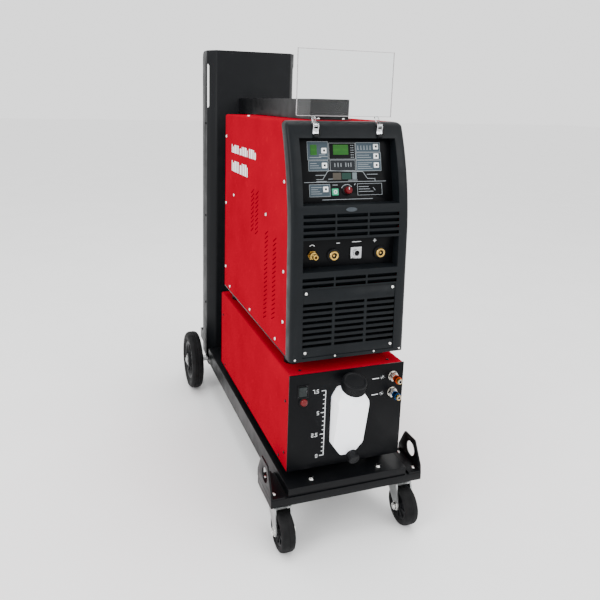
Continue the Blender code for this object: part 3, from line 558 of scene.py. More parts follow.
def turned_piece(name, node, place, profile, material, steps=64, bevel=0.0, sharp=35):
    bm = bmesh.new()
    add_turned(bm, place, profile, steps)
    return finish_piece(name, bm, material, body_of(node), bevel, 2, sharp)


# Trolley --------------------------------------------------


def axis_frame(node):
    """Frame at a node's middle whose Z runs along world X."""
    at = centre_of(node)
    return facing(at, (0, 1, 0), (0, 0, 1))


def rear_wheel(side, outward):
    low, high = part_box(f"rear_tyre_{side}")
    outer, half = (high.z - low.z) / 2 / MM, (high.x - low.x) / 2 / MM
    rim = (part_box(f"rear_rim_{side}")[1].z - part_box(f"rear_rim_{side}")[0].z) / 2 / MM
    place = axis_frame(f"rear_tyre_{side}")
    flank = [(rim + 0.3, 15), (rim + 4, 18), (rim + 6, 17.2), (rim + 9, 19), (rim + 14, half - 0.3),
             (rim + 22, half), (outer - 8, half - 1), (outer - 3.5, half - 4.5), (outer - 1, half - 9),
             (outer - 0.4, half - 12), (outer - 2.4, half - 12.6), (outer - 2.4, half - 14),
             (outer, half - 14.6), (outer, 2.2), (outer - 2.2, 1.4)]
    profile = flank + [(radius, -height) for radius, height in reversed(flank)]
    tyre = turned_piece(f"rear_tyre_{side}_fine", f"rear_tyre_{side}", place, profile, RUBBER, 96)
    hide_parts(f"rear_tyre_{side}")
    face = [(10.3, 21), (22, 21), (24, 20), (26, 9.5), (29, 8), (50, 4.5), (54, 5.5), (rim - 10, 13.5),
            (rim - 6, 15.8), (rim - 1, 15.8), (rim, 14.5)]
    profile = face + [(radius, -height) for radius, height in reversed(face)]
    bm = bmesh.new()
    add_turned(bm, place, profile, 96)
    disc = finish_piece(f"rear_rim_{side}_fine", bm, BLACK_PLASTIC, body_of(f"rear_rim_{side}"))
    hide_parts(f"rear_rim_{side}")
    bm = bmesh.new()
    for spoke in range(6):
        for face_side in (1, -1):
            turn = about_z(60 * spoke)
            low_z, high_z = sorted((face_side * 4, face_side * 12.5))
            add_box(bm, (24, -3, low_z), (rim - 5, 3, high_z), place @ turn)
    finish_piece(f"rear_rim_ribs_{side}", bm, BLACK_PLASTIC, body_of(f"rear_rim_{side}"),
                 1.2, 3)
    bm = bmesh.new()
    cap = place @ (Matrix() if outward > 0 else Matrix.Rotation(pi, 4, "Y"))
    add_rod(bm, cap, 17, 21.3, 23.2, 40)
    add_turned(bm, cap, [(0, 27), (7, 26.6), (10.6, 25), (11, 23.2), (0, 23.2)], 40)
    finish_piece(f"axle_washer_{side}", bm, ZINC, "machine", 0.3)


def caster(side):
    body = body_of(f"caster_fork_{side}")
    skin(f"caster_plate_{side}", ZINC, 0.6)
    skin(f"caster_fork_{side}", ZINC, 0.9, 3, 28)
    low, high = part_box(f"caster_plate_{side}")
    base = mm((low + high) / 2)
    bolts(f"caster_bolts_{side}", [facing((base.x + dx, base.y + dy, base.z - 2), (1, 0, 0), (0, -1, 0))
                                   for dx in (-28, 28) for dy in (-36, 36)], ZINC, 4.6)
    place = axis_frame(f"caster_wheel_{side}")
    low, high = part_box(f"caster_wheel_{side}")
    radius, half = (high.z - low.z) / 2 / MM, (high.x - low.x) / 2 / MM
    flank = [(33.3, half - 2.5), (35, half - 0.2), (37, half), (radius - 6, half - 0.2),
             (radius - 2.4, half - 2), (radius - 0.7, half - 5), (radius, half - 9), (radius, 0.8),
             (radius - 0.5, 0.3)]
    profile = flank + [(r, -h) for r, h in reversed(flank)]
    tyre = turned_piece(f"caster_tyre_{side}", f"caster_wheel_{side}", place, profile, RUBBER, 80)
    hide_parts(f"caster_wheel_{side}")
    hub = [(5.3, half), (11, half), (12.5, half - 1), (13.5, half - 5), (28, half - 6), (31, half - 3),
           (33, half - 2.5)]
    profile = hub + [(r, -h) for r, h in reversed(hub)]
    bm = bmesh.new()
    add_turned(bm, place, profile, 64)
    for rib in range(8):
        for sign in (1, -1):
            low_z, high_z = sorted((sign * (half - 7), sign * (half - 3)))
            add_box(bm, (12.5, -1.2, low_z), (31, 1.2, high_z), place @ about_z(45 * rib))
    finish_piece(f"caster_hub_{side}", bm, BLACK_PLASTIC, body_of(f"caster_wheel_{side}"))
    bm = bmesh.new()
    for sign in (1, -1):
        end = place @ (Matrix() if sign > 0 else Matrix.Rotation(pi, 4, "Y"))
        add_rod(bm, end, 11, 22.2, 23.6, 32)
        add_prism(bm, end, hexagon(9.5), 23.6, 29)
        add_rod(bm, end, 5.2, 29, 31, 24)
    finish_piece(f"caster_nuts_{side}", bm, STEEL_BRIGHT, body, 0.4)
    bm = bmesh.new()
    centre = centre_of(f"caster_plate_{side}")
    ring = facing((centre.x, centre.y, centre.z - 2), (1, 0, 0), (0, -1, 0))
    add_turned(bm, ring, [(24, 2.4), (30.6, 2.6), (31.5, 4), (31, 6), (24, 6.4)], 48)
    finish_piece(f"caster_race_{side}", bm, ZINC, body)


def trolley():
    skin("trolley_tray", BLACK, 0.9, 3)
    skin("front_crossbeam", BLACK, 1.0, 3)
    skin("bottle_column", COLUMN, 0.7, 2)
    skin("bottle_platform", BLACK, 0.8)
    skin("rear_axle", ZINC, 0.8)
    for side in ("left", "right"):
        skin(f"lug_{side}", BLACK, 0.8, 3)
    for side, outward in (("left", -1), ("right", 1)):
        rear_wheel(side, outward)
        caster(side)
    tray_top = mm(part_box("trolley_tray")[1]).z
    bolts("tray_bolts", [upward(x, -9, tray_top) for x in (-90, 90)], STEEL_BRIGHT, 5.4)
    foot = mm(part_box("lug_left")[0]).z + 4
    places = [upward(sign * 187, y, foot) for sign in (-1, 1) for y in (-17.5, 53)]
    screws("lug_screws", places, STEEL_BRIGHT, 1.35)
    side = mm(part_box("bottle_column")[1]).x
    places = [place(867, z, sign * side) for z in (788, 464, 140)
              for sign, place in ((-1, left_side), (1, right_side))]
    screws("column_screws", places, BLACK, 1.3)


# Cooler ---------------------------------------------------


def cooler():
    skin("cooler_cover", RED, 0.5)
    skin("cooler_front_panel", PANEL_BLACK, 0.4)
    skin("cooler_chassis", BLACK, 0.6)
    skin("cooler_rocker", GREY_PLASTIC, 0.8, 3)
    for node, material in (("cooler_pump", ZINC), ("radiator", ALUMINIUM), ("cooler_fan", BLACK_PLASTIC)):
        skin(node, material, 0.4)
    half = mm(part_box("cooler_cover")[1]).x
    top = mm(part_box("cooler_cover")[1]).z
    spots = [(22, 174), (22, 40), (60, 10), (330, 10), (601, 10), (628, 174)]
    places = [left_side(y, z, -half) for y, z in spots] + [right_side(y, z, half) for y, z in spots]
    places += [upward(x, y, top) for y in (23, 628) for x in (-116, 116)]
    screws("cooler_screws", places, BLACK, 0.95)
    tank_parts()
    for colour in ("red", "blue"):
        coupling(colour)
    cooler_print()
    bm = bmesh.new()
    x, z = centre_of("cooler_rocker").x, centre_of("cooler_rocker").z
    for low, high in (((-14, -15.5), (14, -13)), ((-14, 14), (14, 16)), ((-14, -13), (-11.2, 14)),
                      ((11.2, -13), (14, 14))):
        add_box(bm, (*low, 0.05), (*high, 1.8), front(x, 0, z))
    finish_piece("rocker_frame", bm, BLACK_PLASTIC, bevel=0.5)
    lamp = front(centre_of("pilot_lamp").x, 0, centre_of("pilot_lamp").z)
    bm = bmesh.new()
    add_turned(bm, lamp, [(0, 9.3), (3, 9.1), (6, 8.2), (8.2, 6.2), (9, 3.6), (9.2, 1), (0, 1)], 48)
    cap = finish_piece("pilot_lens", bm, RED_LENS)
    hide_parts("pilot_lamp")
    bm = bmesh.new()
    add_turned(bm, lamp, [(9.3, 3.2), (10.8, 3.2), (11.5, 2.4), (11.5, 0.3), (9.3, 0.3)], 48)
    finish_piece("pilot_rim", bm, BLACK_PLASTIC)


def cap_frame():
    """Frame on the filler cap's axis, at its base, from the joint that lifts it."""
    axis = joint_axis("filler_cap_lift")
    at = centre_of("filler_cap") - axis * 12
    return facing(at, (1, 0, 0), axis.cross(Vector((1, 0, 0))))


def joint_axis(name):
    return joint_value(name, "axis").normalized()


def ribbed_cap(name, node, place, radius, height, ribs, bore, depth):
    """Screw cap: rounded top with a raised rim, grip ribs round the skirt, hollow below."""
    bm = bmesh.new()
    add_turned(bm, place, [(0, height - 1.4), (radius - 8, height - 1.4), (radius - 6, height),
                           (radius - 3.6, height), (radius - 1.9, height - 1.4), (radius - 1.4, height - 4),
                           (radius - 1.4, 2.6), (radius - 0.6, 2.0), (radius - 0.6, 0), (bore, 0),
                           (bore, depth), (0, depth)], 96)
    for rib in range(ribs):
        turn = Matrix.Rotation(2 * pi * rib / ribs, 4, "Z")
        add_box(bm, (radius - 2.2, -0.55, 2.4), (radius - 0.5, 0.55, height - 3.4), place @ turn)
    obj = finish_piece(name, bm, BLACK_PLASTIC, body_of(node))
    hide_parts(node)


def tank_parts():
    skin("water_tank", GLOWING_TANK, 3.2, 4, 28)
    ribbed_cap("filler_cap_fine", "filler_cap", cap_frame(), 30, 24, 60, 23.3, 19)
    axis = joint_axis("drain_cap_pull")
    at = centre_of("drain_cap") - axis * 10
    drain = facing(at, (1, 0, 0), axis.cross(Vector((1, 0, 0))))
    ribbed_cap("drain_cap_fine", "drain_cap", drain, 15, 20, 24, 9.3, 13)


def coupling(colour):
    centre = centre_of(f"coupling_{colour}")
    place = front(centre.x, -0.3, centre.z)
    bm = bmesh.new()
    add_rod(bm, place, 12.6, 0, 1.6, 48)
    add_prism(bm, place, hexagon(12.4), 1.6, 8.4)
    add_turned(bm, place, [(3.4, 8.4), (8, 8.4), (8, 9.1), (5.6, 9.6), (5.6, 31), (5.2, 34), (4.9, 36.6),
                           (3.4, 36.8)], 48)
    body = finish_piece(f"coupling_{colour}_fine", bm, NICKEL, bevel=0.25)
    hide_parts(f"coupling_{colour}")
    bm = bmesh.new()
    add_turned(bm, place, [(5.62, 36), (6.6, 35.8), (6.8, 31.4), (5.62, 31.2)], 40)
    finish_piece(f"coupling_tip_{colour}", bm, BRASS)
    bm = bmesh.new()
    add_turned(bm, place, [(5.8, 30), (8, 30), (8.6, 29.4), (8.6, 27.6), (7.9, 27), (7.9, 17), (8.6, 16.4),
                           (8.6, 14.6), (8, 14), (5.8, 14)], 48)
    for rib in range(20):
        turn = Matrix.Rotation(2 * pi * rib / 20, 4, "Z")
        add_box(bm, (7.6, -0.5, 17.4), (8.5, 0.5, 26.6), place @ turn)
    node = f"collar_{colour}"
    sleeve = finish_piece(f"{node}_fine", bm, ANODISED[colour], body_of(node))
    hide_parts(node)


SEGMENTS = {"0": "abcdef", "2": "abged", "3": "abgcd", "5": "afgcd", "7": "abc"}


def digit(bm, place, x, y, size, shape):
    """One numeral drawn from seven strokes."""
    w, h = size * 0.5, size
    strokes = {"a": ((0, h), (w, h)), "b": ((w, h), (w, h / 2)), "c": ((w, h / 2), (w, 0)),
               "d": ((0, 0), (w, 0)), "e": ((0, 0), (0, h / 2)), "f": ((0, h / 2), (0, h)),
               "g": ((0, h / 2), (w, h / 2))}
    for stroke in SEGMENTS[shape]:
        (ax, ay), (bx, by) = strokes[stroke]
        add_line(bm, place, [(x + ax, y + ay), (x + bx, y + by)], size * 0.17)


def cooler_print():
    """Level scale with plain numerals, and a ring, a stroke and a dash for each hose."""
    place = front(0, 0, 0)
    bm = bmesh.new()
    line_x, low, high = -57.0, 30.0, 199.0
    add_line(bm, place, [(line_x, low), (line_x, high)], 1.7)
    for tick in range(16):
        z = low + (high - low) * tick / 15
        reach = 10 if tick % 5 == 0 else 5.5
        add_line(bm, place, [(line_x - reach, z), (line_x, z)], 1.5)
    for step, text in enumerate(("0", "2.5", "5", "7.5")):
        z = low + (high - low) * step / 3 - 4
        x = line_x - 14 - 6.2 * len(text)
        for shape in text:
            if shape == ".":
                add_line(bm, place, [(x + 0.4, z), (x + 0.9, z)], 1.4)
                x += 3.4
            else:
                digit(bm, place, x, z, 8.2, shape)
                x += 6.6
    for z, turn in ((213.5, 1), (171.5, -1)):
        add_line(bm, place, ellipse(92, z - 1, 5, 4, 20), 1.5, closed=True)
        add_line(bm, place, [(89.5, z - 1 - 2 * turn), (94.5, z - 1 + 2 * turn)], 1.3)
        add_line(bm, place, [(66, z - 2), (82, z - 2)], 1.8)
    finish_piece("cooler_print", bm, WHITE_INK)


# Welder ---------------------------------------------------


def louvres(side, outward):
    """Columns of small slanted vents pressed out of the side sheet, each over a dark red plate painted as the
    shade in its slit.
    """
    half = mm(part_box("welder_cover")[1]).x
    bm, slit_shades = bmesh.new(), bmesh.new()
    for column, start, count in LOUVRE_COLUMNS:
        for row in range(count):
            z = start + row * LOUVRE_PITCH
            place = (left_side if outward < 0 else right_side)(column, z, outward * half)
            place = place @ about_z(-outward * LOUVRE_TURN)
            add_prism(bm, place, [(-14, -1.0), (14, -1.0), (13, 1.6), (-13, 1.6)], -0.6, 0.75)
            # Dark red plate painted as the shade inside each slit.
            add_prism(slit_shades, place, [(-13.5, -2.5), (13.5, -2.5), (13.5, -0.9), (-13.5, -0.9)], -0.3, 0.06)
    finish_piece(f"louvre_slit_shades_{side}", slit_shades, SLIT_SHADE)
    finish_piece(f"louvres_{side}", bm, RED, bevel=0.5, segments=3)


def welder_screws():
    half, top = mm(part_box("welder_cover")[1]).x, mm(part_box("welder_cover")[1]).z
    spots = [(614, 758), (614, 551), (614, 344), (560, 292), (338, 292), (118, 292),
             (80, 687), (70, 477), (66, 355), (522, 589), (211, 587)]
    places = [left_side(y, z, -half) for y, z in spots] + [right_side(y, z, half) for y, z in spots]
    places += [upward(sign * 132, 425, top) for sign in (-1, 1)]
    screws("welder_screws", places, STEEL_BRIGHT, 1.15)
    places = [on_bezel(x, z, -1) for x in (-111, 111) for z in (437.8, 295.7)]
    screws("grille_screws", places, STEEL_BRIGHT, 1.0)
    screws("bezel_edge_screws", [on_bezel(x, 281.5) for x in (-136, -35, 67, 136)], STEEL_BRIGHT, 0.7)
    bracket = mm(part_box("top_bracket")[0])
    screws("bracket_screws", [upward(x, bracket.y + 10, bracket.z + 2) for x in (-33, 33)], STEEL_BRIGHT, 1.1)


def side_stripes():
    """Two rows of plain white bars on each side."""
    half = mm(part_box("welder_cover")[1]).x
    bm = bmesh.new()
    for place, forward in ((left_side(0, 0, -half), -1), (right_side(0, 0, half), 1)):
        for rear, front_end, low, high in STRIPE_ROWS:
            y, bar = rear, 0
            while y > front_end + 17:
                width = 7 + 5 * (bar * 7 % 3)
                x0, x1 = sorted((forward * y, forward * (y - width)))
                add_plate(bm, place, x0, low, x1, high - 6 * (bar * 5 % 4 == 1), 1.5)
                y -= width + (13 if bar % 5 == 4 else 5)
                bar += 1
    finish_piece("side_stripes", bm, WHITE_INK)


def bezel_insides():
    """A matt black sheet painted as the shade behind the air slots, and slanted fins."""
    bm = bmesh.new()
    # Black sheets painted as the shade inside the vent and grille openings.
    for low, high, y in ((565, 622, 40), (448, 475, 34), (297, 418, 30)):
        add_box(bm, (-128, y, low), (128, y + 1.5, high))
    finish_piece("vent_painted_shade", bm, DARK)
    bm = bmesh.new()
    for z, behind in [(z, 9.5) for z in VENT_ROWS] + [(z, 12) for z in GRILLE_ROWS]:
        slope = on_bezel(0, z, -behind) @ Matrix.Rotation(radians(-138), 4, "X")
        add_prism(bm, slope, [(-122, -7.2), (122, -7.2), (122, 7.2), (-122, 7.2)], -0.8, 0.8)
    finish_piece("vent_fins", bm, BEZEL, bevel=0.3)


def badge():
    """Blank oval badge below the control recess."""
    bm = bmesh.new()
    add_prism(bm, on_bezel(-3, 628), ellipse(0, 0, 14, 5, 40), -0.6, 1.0)
    finish_piece("blank_badge", bm, BADGE, bevel=0.4)


class Print:
    """Flat print on a face, placed by machine X and Z."""

    def __init__(self, place, origin, rise, level):
        self.place, self.origin, self.rise, self.level = place, origin, rise, level

    def at(self, x, z):
        return x - self.origin.x, (z - self.origin.z) / self.rise

    def plates(self, name, material, blocks, radius=0.8, high=0.15, bevel=0.0):
        bm = bmesh.new()
        for x0, z0, x1, z1 in blocks:
            add_plate(bm, self.place, *self.at(x0, z0), *self.at(x1, z1), radius,
                      self.level - 0.1, self.level + high)
        return finish_piece(name, bm, material, bevel=bevel)

    def line(self, bm, points, width, closed=False):
        points = [self.at(x, z) for x, z in points]
        add_line(bm, self.place, points, width, self.level - 0.1, self.level + 0.22, closed)

    def frame(self, bm, block, width):
        x0, z0, x1, z1 = block
        self.line(bm, [(x0, z0), (x1, z0), (x1, z1), (x0, z1)], width, closed=True)


def knob_frame():
    """Frame on the knob's axis with Y up the panel and Z out, and its origin in the machine frame."""
    normal, at = joint_axis("knob_turn"), mm(joint_value("knob_turn", "pos_m"))
    return facing(at, (1, 0, 0), normal.cross(Vector((1, 0, 0)))), at


LABELS = ((-93, 735.6, -42, 776.6), (-91.6, 710.8, -42.8, 733.8), (29.8, 752.8, 92.3, 774.5),
          (29.3, 735, 93.9, 751.2), (29.3, 709.4, 93.7, 733.6), (-92.4, 653, -41.2, 680.2))
LABEL_ROWS = ((-64, 741, -44, 749), (-88, 715, -62, 730), (-88, 739, -60, 743), (33, 738, 68, 748),
              (33, 713, 70, 730), (-88, 657, -62, 676))
DISPLAYS = ((-86, 746.5, -70, 769.5), (-29, 747, 9.5, 769.5))
CENTRE_LABEL, DISPLAY_BORDER = (-37.9, 710.3, 26.2, 734.8), (-39.4, 736.8, 27.7, 773.4)
LEGEND_BOX = (29, 654.2, 93.1, 680.2)
WELD_CYCLE = ([(-73.5, 691.5), (-58, 691.3), (-45.3, 709.2), (-40.4, 711), (44.7, 708), (56.2, 691.9),
               (76.2, 691.6), (76, 686.5)],
              [(-75, 701), (-53, 701)], [(55.5, 701.4), (83, 701.4)], [(-43.8, 692), (-33.1, 692)],
              [(6.7, 688.7), (30, 688.7)], [(-73.7, 687), (-49, 687)])
LEGEND = ([(32.8, 673.4), (57.6, 673.4)], [(32.5, 668), (61, 668)], [(32.2, 662.3), (69.5, 662.3)],
          [(70, 671), (75, 665)])


def control_panel():
    skin("control_panel", PANEL_BLACK, 0.3)
    place, origin = knob_frame()
    face = Print(place, origin, place.col[1].z / place.col[1].xyz.length, 2.4)
    face.plates("panel_labels", LABEL, LABELS)
    face.plates("panel_shade", SHADE_INK, [(-32.3, 690.3, -11.5, 705.8)])
    face.plates("panel_green", GREEN_INK, [(-9.4, 691, 14.1, 705.4)])
    face.plates("panel_pale", PALE_INK, [(17.4, 690.7, 28.8, 706.1)])
    face.plates("centre_label", LABEL_DARK, [CENTRE_LABEL])
    face.plates("panel_displays", DISPLAY, DISPLAYS, 0.8, 1.0, 0.25)
    bm = bmesh.new()
    for block in (*LABELS, CENTRE_LABEL, DISPLAY_BORDER, LEGEND_BOX):
        face.frame(bm, block, 0.7)
    for x0, z0, x1, z1 in LABEL_ROWS:
        count = max(1, round((z1 - z0) / 4.6))
        for step in range(count):
            z = z0 + (z1 - z0) * (step + 0.5) / count
            face.line(bm, [(x0, z), (x1 - 5 * (step % 3), z)], 0.9)
    for x in range(35, 71, 8):
        face.line(bm, [(x, 759), (x, 767)], 1.3)
        face.line(bm, [(x - 1.8, 759), (x + 1.8, 759)], 0.8)
    for x in (16.5, 21):
        for step in range(6):
            face.line(bm, [(x, 741 + 5.4 * step), (x + 1.6, 741 + 5.4 * step)], 1.3)
    for index, x in enumerate((-26, -18, -10.5, 2, 8.5, 15)):
        face.line(bm, [(x, 720), (x, 727 + index % 2)], 1.5)
    for points in (*WELD_CYCLE, *LEGEND):
        face.line(bm, points, 1.0)
    face.line(bm, [(-104, 685.3), (105, 685.3)], 0.9)
    face.line(bm, [(-33.8, 678.4), (-21.9, 678.4)], 1.2)
    face.line(bm, [(-61, 645.5), (67, 645.5)], 1.1)
    arc = [(origin.x + 15.2 * cos(radians(a)), origin.z + 13.6 * sin(radians(a))) for a in range(40, 166, 14)]
    face.line(bm, arc, 1.5)
    face.line(bm, [(21.5, 678), (23.6, 680.4)], 1.5)
    finish_piece("panel_print", bm, PANEL_INK)
    keys()
    knob(place)


def keys():
    out = joint_axis("knob_turn")
    for number in [*range(1, 7), "green"]:
        node = f"key_{number}"
        green = number == "green"
        skin(node, GREEN_KEY if green else WHITE_KEY, 0.5, 3)
        face = facing(centre_of(node) + out * 4.0, (1, 0, 0), out.cross(Vector((1, 0, 0))))
        bm = bmesh.new()
        if green:
            add_turned(bm, face, [(2.6, 0.15), (4.4, 0.15), (4.4, -0.2), (2.6, -0.2)], 24)
        else:
            add_prism(bm, face, [(-2.6, -2.6), (2.6, -2.6), (2.6, 2.6), (-2.6, 2.6)], -0.2, 0.2)
        material = WHITE_INK if green else BLACK_PLASTIC
        finish_piece(f"key_mark_{number}", bm, material, body_of(node))


def knob(place):
    """Ribbed red cap on a black skirt, with a pointer line."""
    bm = bmesh.new()
    crown = [(0, 14.6), (5.6, 14.6), (6.4, 15.4), (7.2, 15.2), (8, 14.2), (8.4, 6.2), (0, 6.2)]
    add_turned(bm, place, crown, 64)
    for rib in range(24):
        add_box(bm, (7.6, -0.45, 6.4), (8.8, 0.45, 13.4), place @ Matrix.Rotation(2 * pi * rib / 24, 4, "Z"))
    cap = finish_piece("control_knob_cap", bm, KNOB, body_of("control_knob"))
    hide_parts("control_knob")
    bm = bmesh.new()
    add_turned(bm, place, [(0, 6.2), (9.6, 6.2), (11.8, 4.2), (12, 3), (3.4, 3), (3.4, -4), (0, -4)], 64)
    skirt = finish_piece("control_knob_skirt", bm, BLACK_PLASTIC, body_of("control_knob"))
    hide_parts("control_knob")
    bm = bmesh.new()
    add_box(bm, (-0.7, 1.5, 14.5), (0.7, 6.8, 15.6), place)
    finish_piece("knob_mark", bm, WHITE_INK, body_of("control_knob"), 0.2)


def connectors():
    skin("connector_plate", PANEL_BLACK, 0.3)
    face_y = mm(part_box("connector_plate")[0]).y
    for name in ("negative", "positive"):
        node = f"socket_{name}"
        at = centre_of(node)
        place = front(at.x, face_y, at.z)
        bm = bmesh.new()
        add_turned(bm, place, [(6.5, 7.9), (7.1, 8.5), (10.2, 8.5), (11.3, 7.4), (11.3, 0.6), (0, 0.6),
                               (0, 1.5), (6.5, 1.5)], 64)
        brass = finish_piece(f"{node}_fine", bm, BRASS)
        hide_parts(node)
        bm = bmesh.new()
        add_turned(bm, place, [(11.4, 5.4), (12.4, 5.4), (14.8, 4.6), (15.8, 3.4), (16, 2.6), (16, 0.3),
                               (11.4, 0.3)], 64)
        add_turned(bm, place, [(3.4, 5.2), (6.45, 5.2), (6.45, 1.4), (3.4, 1.4)], 48)
        finish_piece(f"{node}_collar", bm, BLACK_PLASTIC)
        bm = bmesh.new()
        add_turned(bm, place, [(0, 6.2), (2.2, 6.0), (2.9, 5.2), (2.9, 1.4), (0, 1.4)], 40)
        finish_piece(f"{node}_pin", bm, BRASS)
    gas_outlet(face_y)
    control_socket(face_y)
    bm = bmesh.new()
    face = front(0, face_y, 0)
    add_line(bm, face, [(-95, 542.5), (-89.5, 545.5), (-84, 542.5)], 1.5)
    add_line(bm, face, [(-27.5, 546), (-21.5, 546)], 1.6)
    add_line(bm, face, [(12, 547), (34, 547)], 1.5)
    add_line(bm, face, [(67.5, 547.7), (74.1, 547.7)], 1.6)
    add_line(bm, face, [(70.8, 544.4), (70.8, 551)], 1.6)
    finish_piece("connector_print", bm, WHITE_INK)


def gas_outlet(face_y):
    """Hexagon nut with a grooved hose tail."""
    at = centre_of("gas_outlet")
    place = front(at.x, face_y, at.z)
    bm = bmesh.new()
    add_prism(bm, place, hexagon(11), 0.3, 5.5)
    add_turned(bm, place, [(3.5, 27), (5.6, 27), (6.6, 25.6), (6.8, 21.6), (6, 20.8), (6.8, 19.8), (6.8, 16),
                           (6, 15.2), (8.4, 14.2), (9, 13.4), (9, 5.5), (3.5, 5.5)], 48)
    gas = finish_piece("gas_outlet_fine", bm, BRASS, bevel=0.25)
    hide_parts("gas_outlet")


def control_socket(face_y):
    """Square flange with a round shell, a pin insert and four small screws."""
    skin("control_socket", ALUMINIUM, 0.5, 3, 28)
    at = centre_of("control_socket")
    place = front(at.x, face_y, at.z)
    bm = bmesh.new()
    add_rod(bm, place, 6.4, 3.05, 5.0, 32)
    for pin in range(5):
        turn = Matrix.Rotation(2 * pi * pin / 5, 4, "Z")
        add_rod(bm, place @ turn @ Matrix.Translation((3.8, 0, 0)), 0.7, 4.8, 8.2, 12)
    finish_piece("control_socket_pins", bm, BLACK_PLASTIC)
    corners = [front(at.x + dx, face_y - 3.5, at.z + dz) for dx in (-11, 11) for dz in (-11, 11)]
    screws("control_socket_screws", corners, STEEL_BRIGHT, 0.42)


def clear_cover():
    """Flat acrylic sheet on two slanted legs, which turn in chrome hinges on the bezel's brow."""
    low, high = mm(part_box("clear_cover")[0]), mm(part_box("clear_cover")[1])
    axis = mm(joint_value("cover_hinge", "pos_m"))
    sheet, pane_foot, inset = 3.0, axis.z + 19, 0.7
    place = front(0, high.y, 0)
    bm = bmesh.new()
    add_plate(bm, place, low.x, pane_foot, high.x, high.z, 1, 0, sheet)
    pane = finish_piece("clear_pane", bm, CLEAR, body_of("clear_cover"), 0.35)
    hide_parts("clear_cover")
    # Grey band just inside the pane's rim: the frosted edge plus a painted highlight of the light it catches.
    bm = bmesh.new()
    corners = [(low.x, pane_foot), (high.x, pane_foot), (high.x, high.z), (low.x, high.z)]
    border = [(x + inset * (1 if x < 0 else -1), z + inset * (1 if z < high.z else -1)) for x, z in corners]
    add_line(bm, place, border, 1.2, -0.05, sheet + 0.05, closed=True)
    finish_piece("clear_pane_edge_highlight", bm, CLEAR_EDGE_HIGHLIGHT, body_of("clear_cover"))
    bm = bmesh.new()
    for side in ("left", "right"):
        x = centre_of(f"hinge_{side}").x
        leg = facing((x, axis.y, axis.z), (1, 0, 0), (0, 1, 1))
        add_prism(bm, leg, [(-4.5, 2.6), (4.5, 2.6), (4.5, 27.2), (-4.5, 27.2)], -1.5, 1.5)
        add_turned(bm, facing((x, axis.y, axis.z), (0, 1, 0), (0, 0, 1)),
                   [(2.4, 4.5), (4, 4.5), (4, -4.5), (2.4, -4.5)], 32)
    legs = finish_piece("clear_legs", bm, CLEAR, body_of("clear_cover"))
    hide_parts("clear_cover")
    bm = bmesh.new()
    for side in ("left", "right"):
        skin(f"hinge_{side}", CHROME, 0.3)
        x = centre_of(f"hinge_{side}").x
        add_box(bm, (-6, -4, -0.2), (6, 4, 6.5), on_bezel(x, 791))
        add_box(bm, (7.3, -9, -0.2), (10.5, 9, 5), on_bezel(x, 801))
    finish_piece("cover_bumpers", bm, BLACK_PLASTIC, bevel=0.8, segments=3)


def rear_details():
    skin("rear_panel", BLACK, 0.4)
    skin("heatsink", ALUMINIUM, 0.3)
    skin("welder_fan", BLACK_PLASTIC, 0.5)
    skin("cable_gland", BLACK_PLASTIC, 0.6)
    skin("mains_switch", BLACK_PLASTIC, 0.8)
    wall = mm(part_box("rear_panel")[1]).y
    place = back(0, wall, 508)
    bm = bmesh.new()
    for ring in range(6):
        radius = 18 + 13 * ring
        wire = [(radius - 0.9, 5.2), (radius + 0.9, 5.2), (radius + 0.9, 7), (radius - 0.9, 7)]
        add_turned(bm, place, wire, 72)
    for spoke in range(4):
        turn = about_z(45 + 90 * spoke)
        add_box(bm, (0, -0.9, 3.6), (86, 0.9, 5.3), place @ turn)
        add_rod(bm, place @ turn @ Matrix.Translation((86, 0, 0)), 4, 0.05, 5.3, 20)
    finish_piece("fan_guard", bm, CHROME)
    bm = bmesh.new()
    x, z = centre_of("mains_switch").x, centre_of("mains_switch").z
    add_plate(bm, back(x, wall, z), -32, -32, 32, 34, 3, 0.02, 0.28)
    finish_piece("switch_plate", bm, ALUMINIUM)
    bm = bmesh.new()
    add_line(bm, back(x, wall, z), [(0, 25), (0, 30)], 1.2, 0.25, 0.36)
    add_line(bm, back(x, wall, z), ellipse(26, 0, 2.4, 2.4, 16), 1.0, 0.25, 0.36, True)
    finish_piece("switch_marks", bm, BLACK_PLASTIC)
    bm = bmesh.new()
    add_plate(bm, back(0, wall, 380), -55, -28, 55, 28, 2, 0.02, 0.3)
    finish_piece("blank_plate", bm, ALUMINIUM)
    bm = bmesh.new()
    gas = back(96, wall, 640)
    add_prism(bm, gas, hexagon(9), 0.05, 6)
    add_turned(bm, gas, [(0, 24), (3.6, 24), (4.6, 20), (3.8, 19), (4.8, 15), (3.8, 14), (4.6, 10), (4.6, 6),
                         (0, 6)], 32)
    finish_piece("gas_inlet", bm, BRASS)
    places = [back(x, wall, z) for x in (-132, 132) for z in (300, 470, 640, 800)]
    screws("rear_screws", places, STEEL_BRIGHT, 1.0)


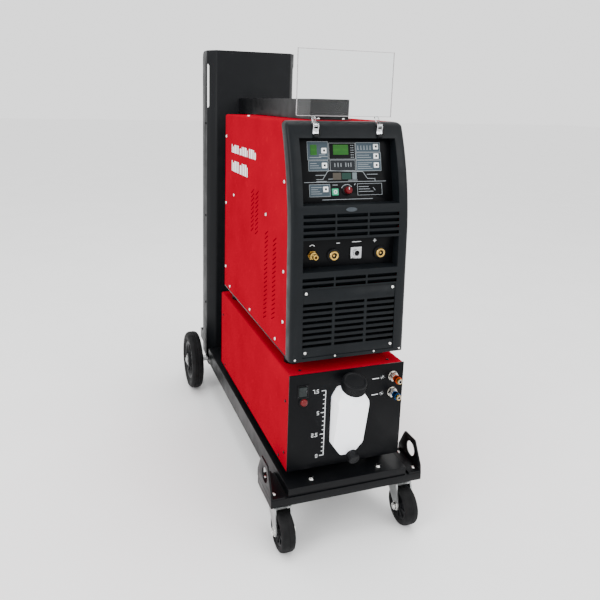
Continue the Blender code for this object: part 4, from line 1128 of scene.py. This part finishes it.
def welder():
    skin("welder_cover", RED, 0.5)
    skin("welder_base", BLACK, 0.6)
    skin("front_bezel", BEZEL, 1.1, 3, 26)
    skin("access_grille", BEZEL, 0.7, 2)
    skin("top_bracket", BLACK, 0.7, 2)
    for side, outward in (("left", -1), ("right", 1)):
        louvres(side, outward)
    welder_screws()
    side_stripes()
    bezel_insides()
    badge()
    control_panel()
    connectors()
    clear_cover()
    rear_details()


# Studio ---------------------------------------------------


def area_light(name, location, target, size, power, colour=(1, 1, 1)):
    data = bpy.data.lights.new(name, "AREA")
    data.shape = "RECTANGLE"
    data.size, data.size_y = size
    data.energy = power
    data.color = colour
    light = bpy.data.objects.new(name, data)
    light.location = location
    light.rotation_euler = (Vector(target) - Vector(location)).to_track_quat("-Z", "Y").to_euler()
    bpy.context.scene.collection.objects.link(light)


def studio():
    bm = bmesh.new()
    bmesh.ops.create_grid(bm, x_segments=2, y_segments=2, size=30)
    mesh = bpy.data.meshes.new("floor")
    bm.to_mesh(mesh)
    bm.free()
    floor = bpy.data.objects.new("floor", mesh)
    bpy.context.scene.collection.objects.link(floor)
    paper = Shader("floor_paper", (0.92, 0.92, 0.92), 0.8)
    paper.vary_colour(paper.noise(3, 3), (0.94, 0.94, 0.94))
    mesh.materials.append(paper.material)
    world = bpy.data.worlds.new("studio")
    world.use_nodes = True
    sky = world.node_tree.nodes["Background"]
    sky.inputs["Color"].default_value = (1.0, 1.0, 1.0, 1)
    sky.inputs["Strength"].default_value = 1.7
    bpy.context.scene.world = world
    area_light("key", (-2.8, -1.4, 2.2), (0, 0, 0.7), (1.6, 1.6), 60)
    area_light("fill", (1.6, -3.0, 2.2), (0, -0.4, 0.7), (1.6, 1.6), 30)
    area_light("top", (0.2, -0.2, 3.6), (0, -0.2, 0.8), (2.0, 2.0), 60)


def camera():
    data = bpy.data.cameras.new("camera")
    data.sensor_width = 36
    data.lens = 35.95
    data.shift_x, data.shift_y = 0.047, -0.1232
    view = bpy.data.objects.new("camera", data)
    view.location = (-0.6077, -1.6578, 1.0487)
    view.rotation_euler = (radians(78.307), radians(-1.2857), radians(-18.4876))
    bpy.context.scene.collection.objects.link(view)
    bpy.context.scene.camera = view


trolley()
cooler()
welder()
studio()
camera()
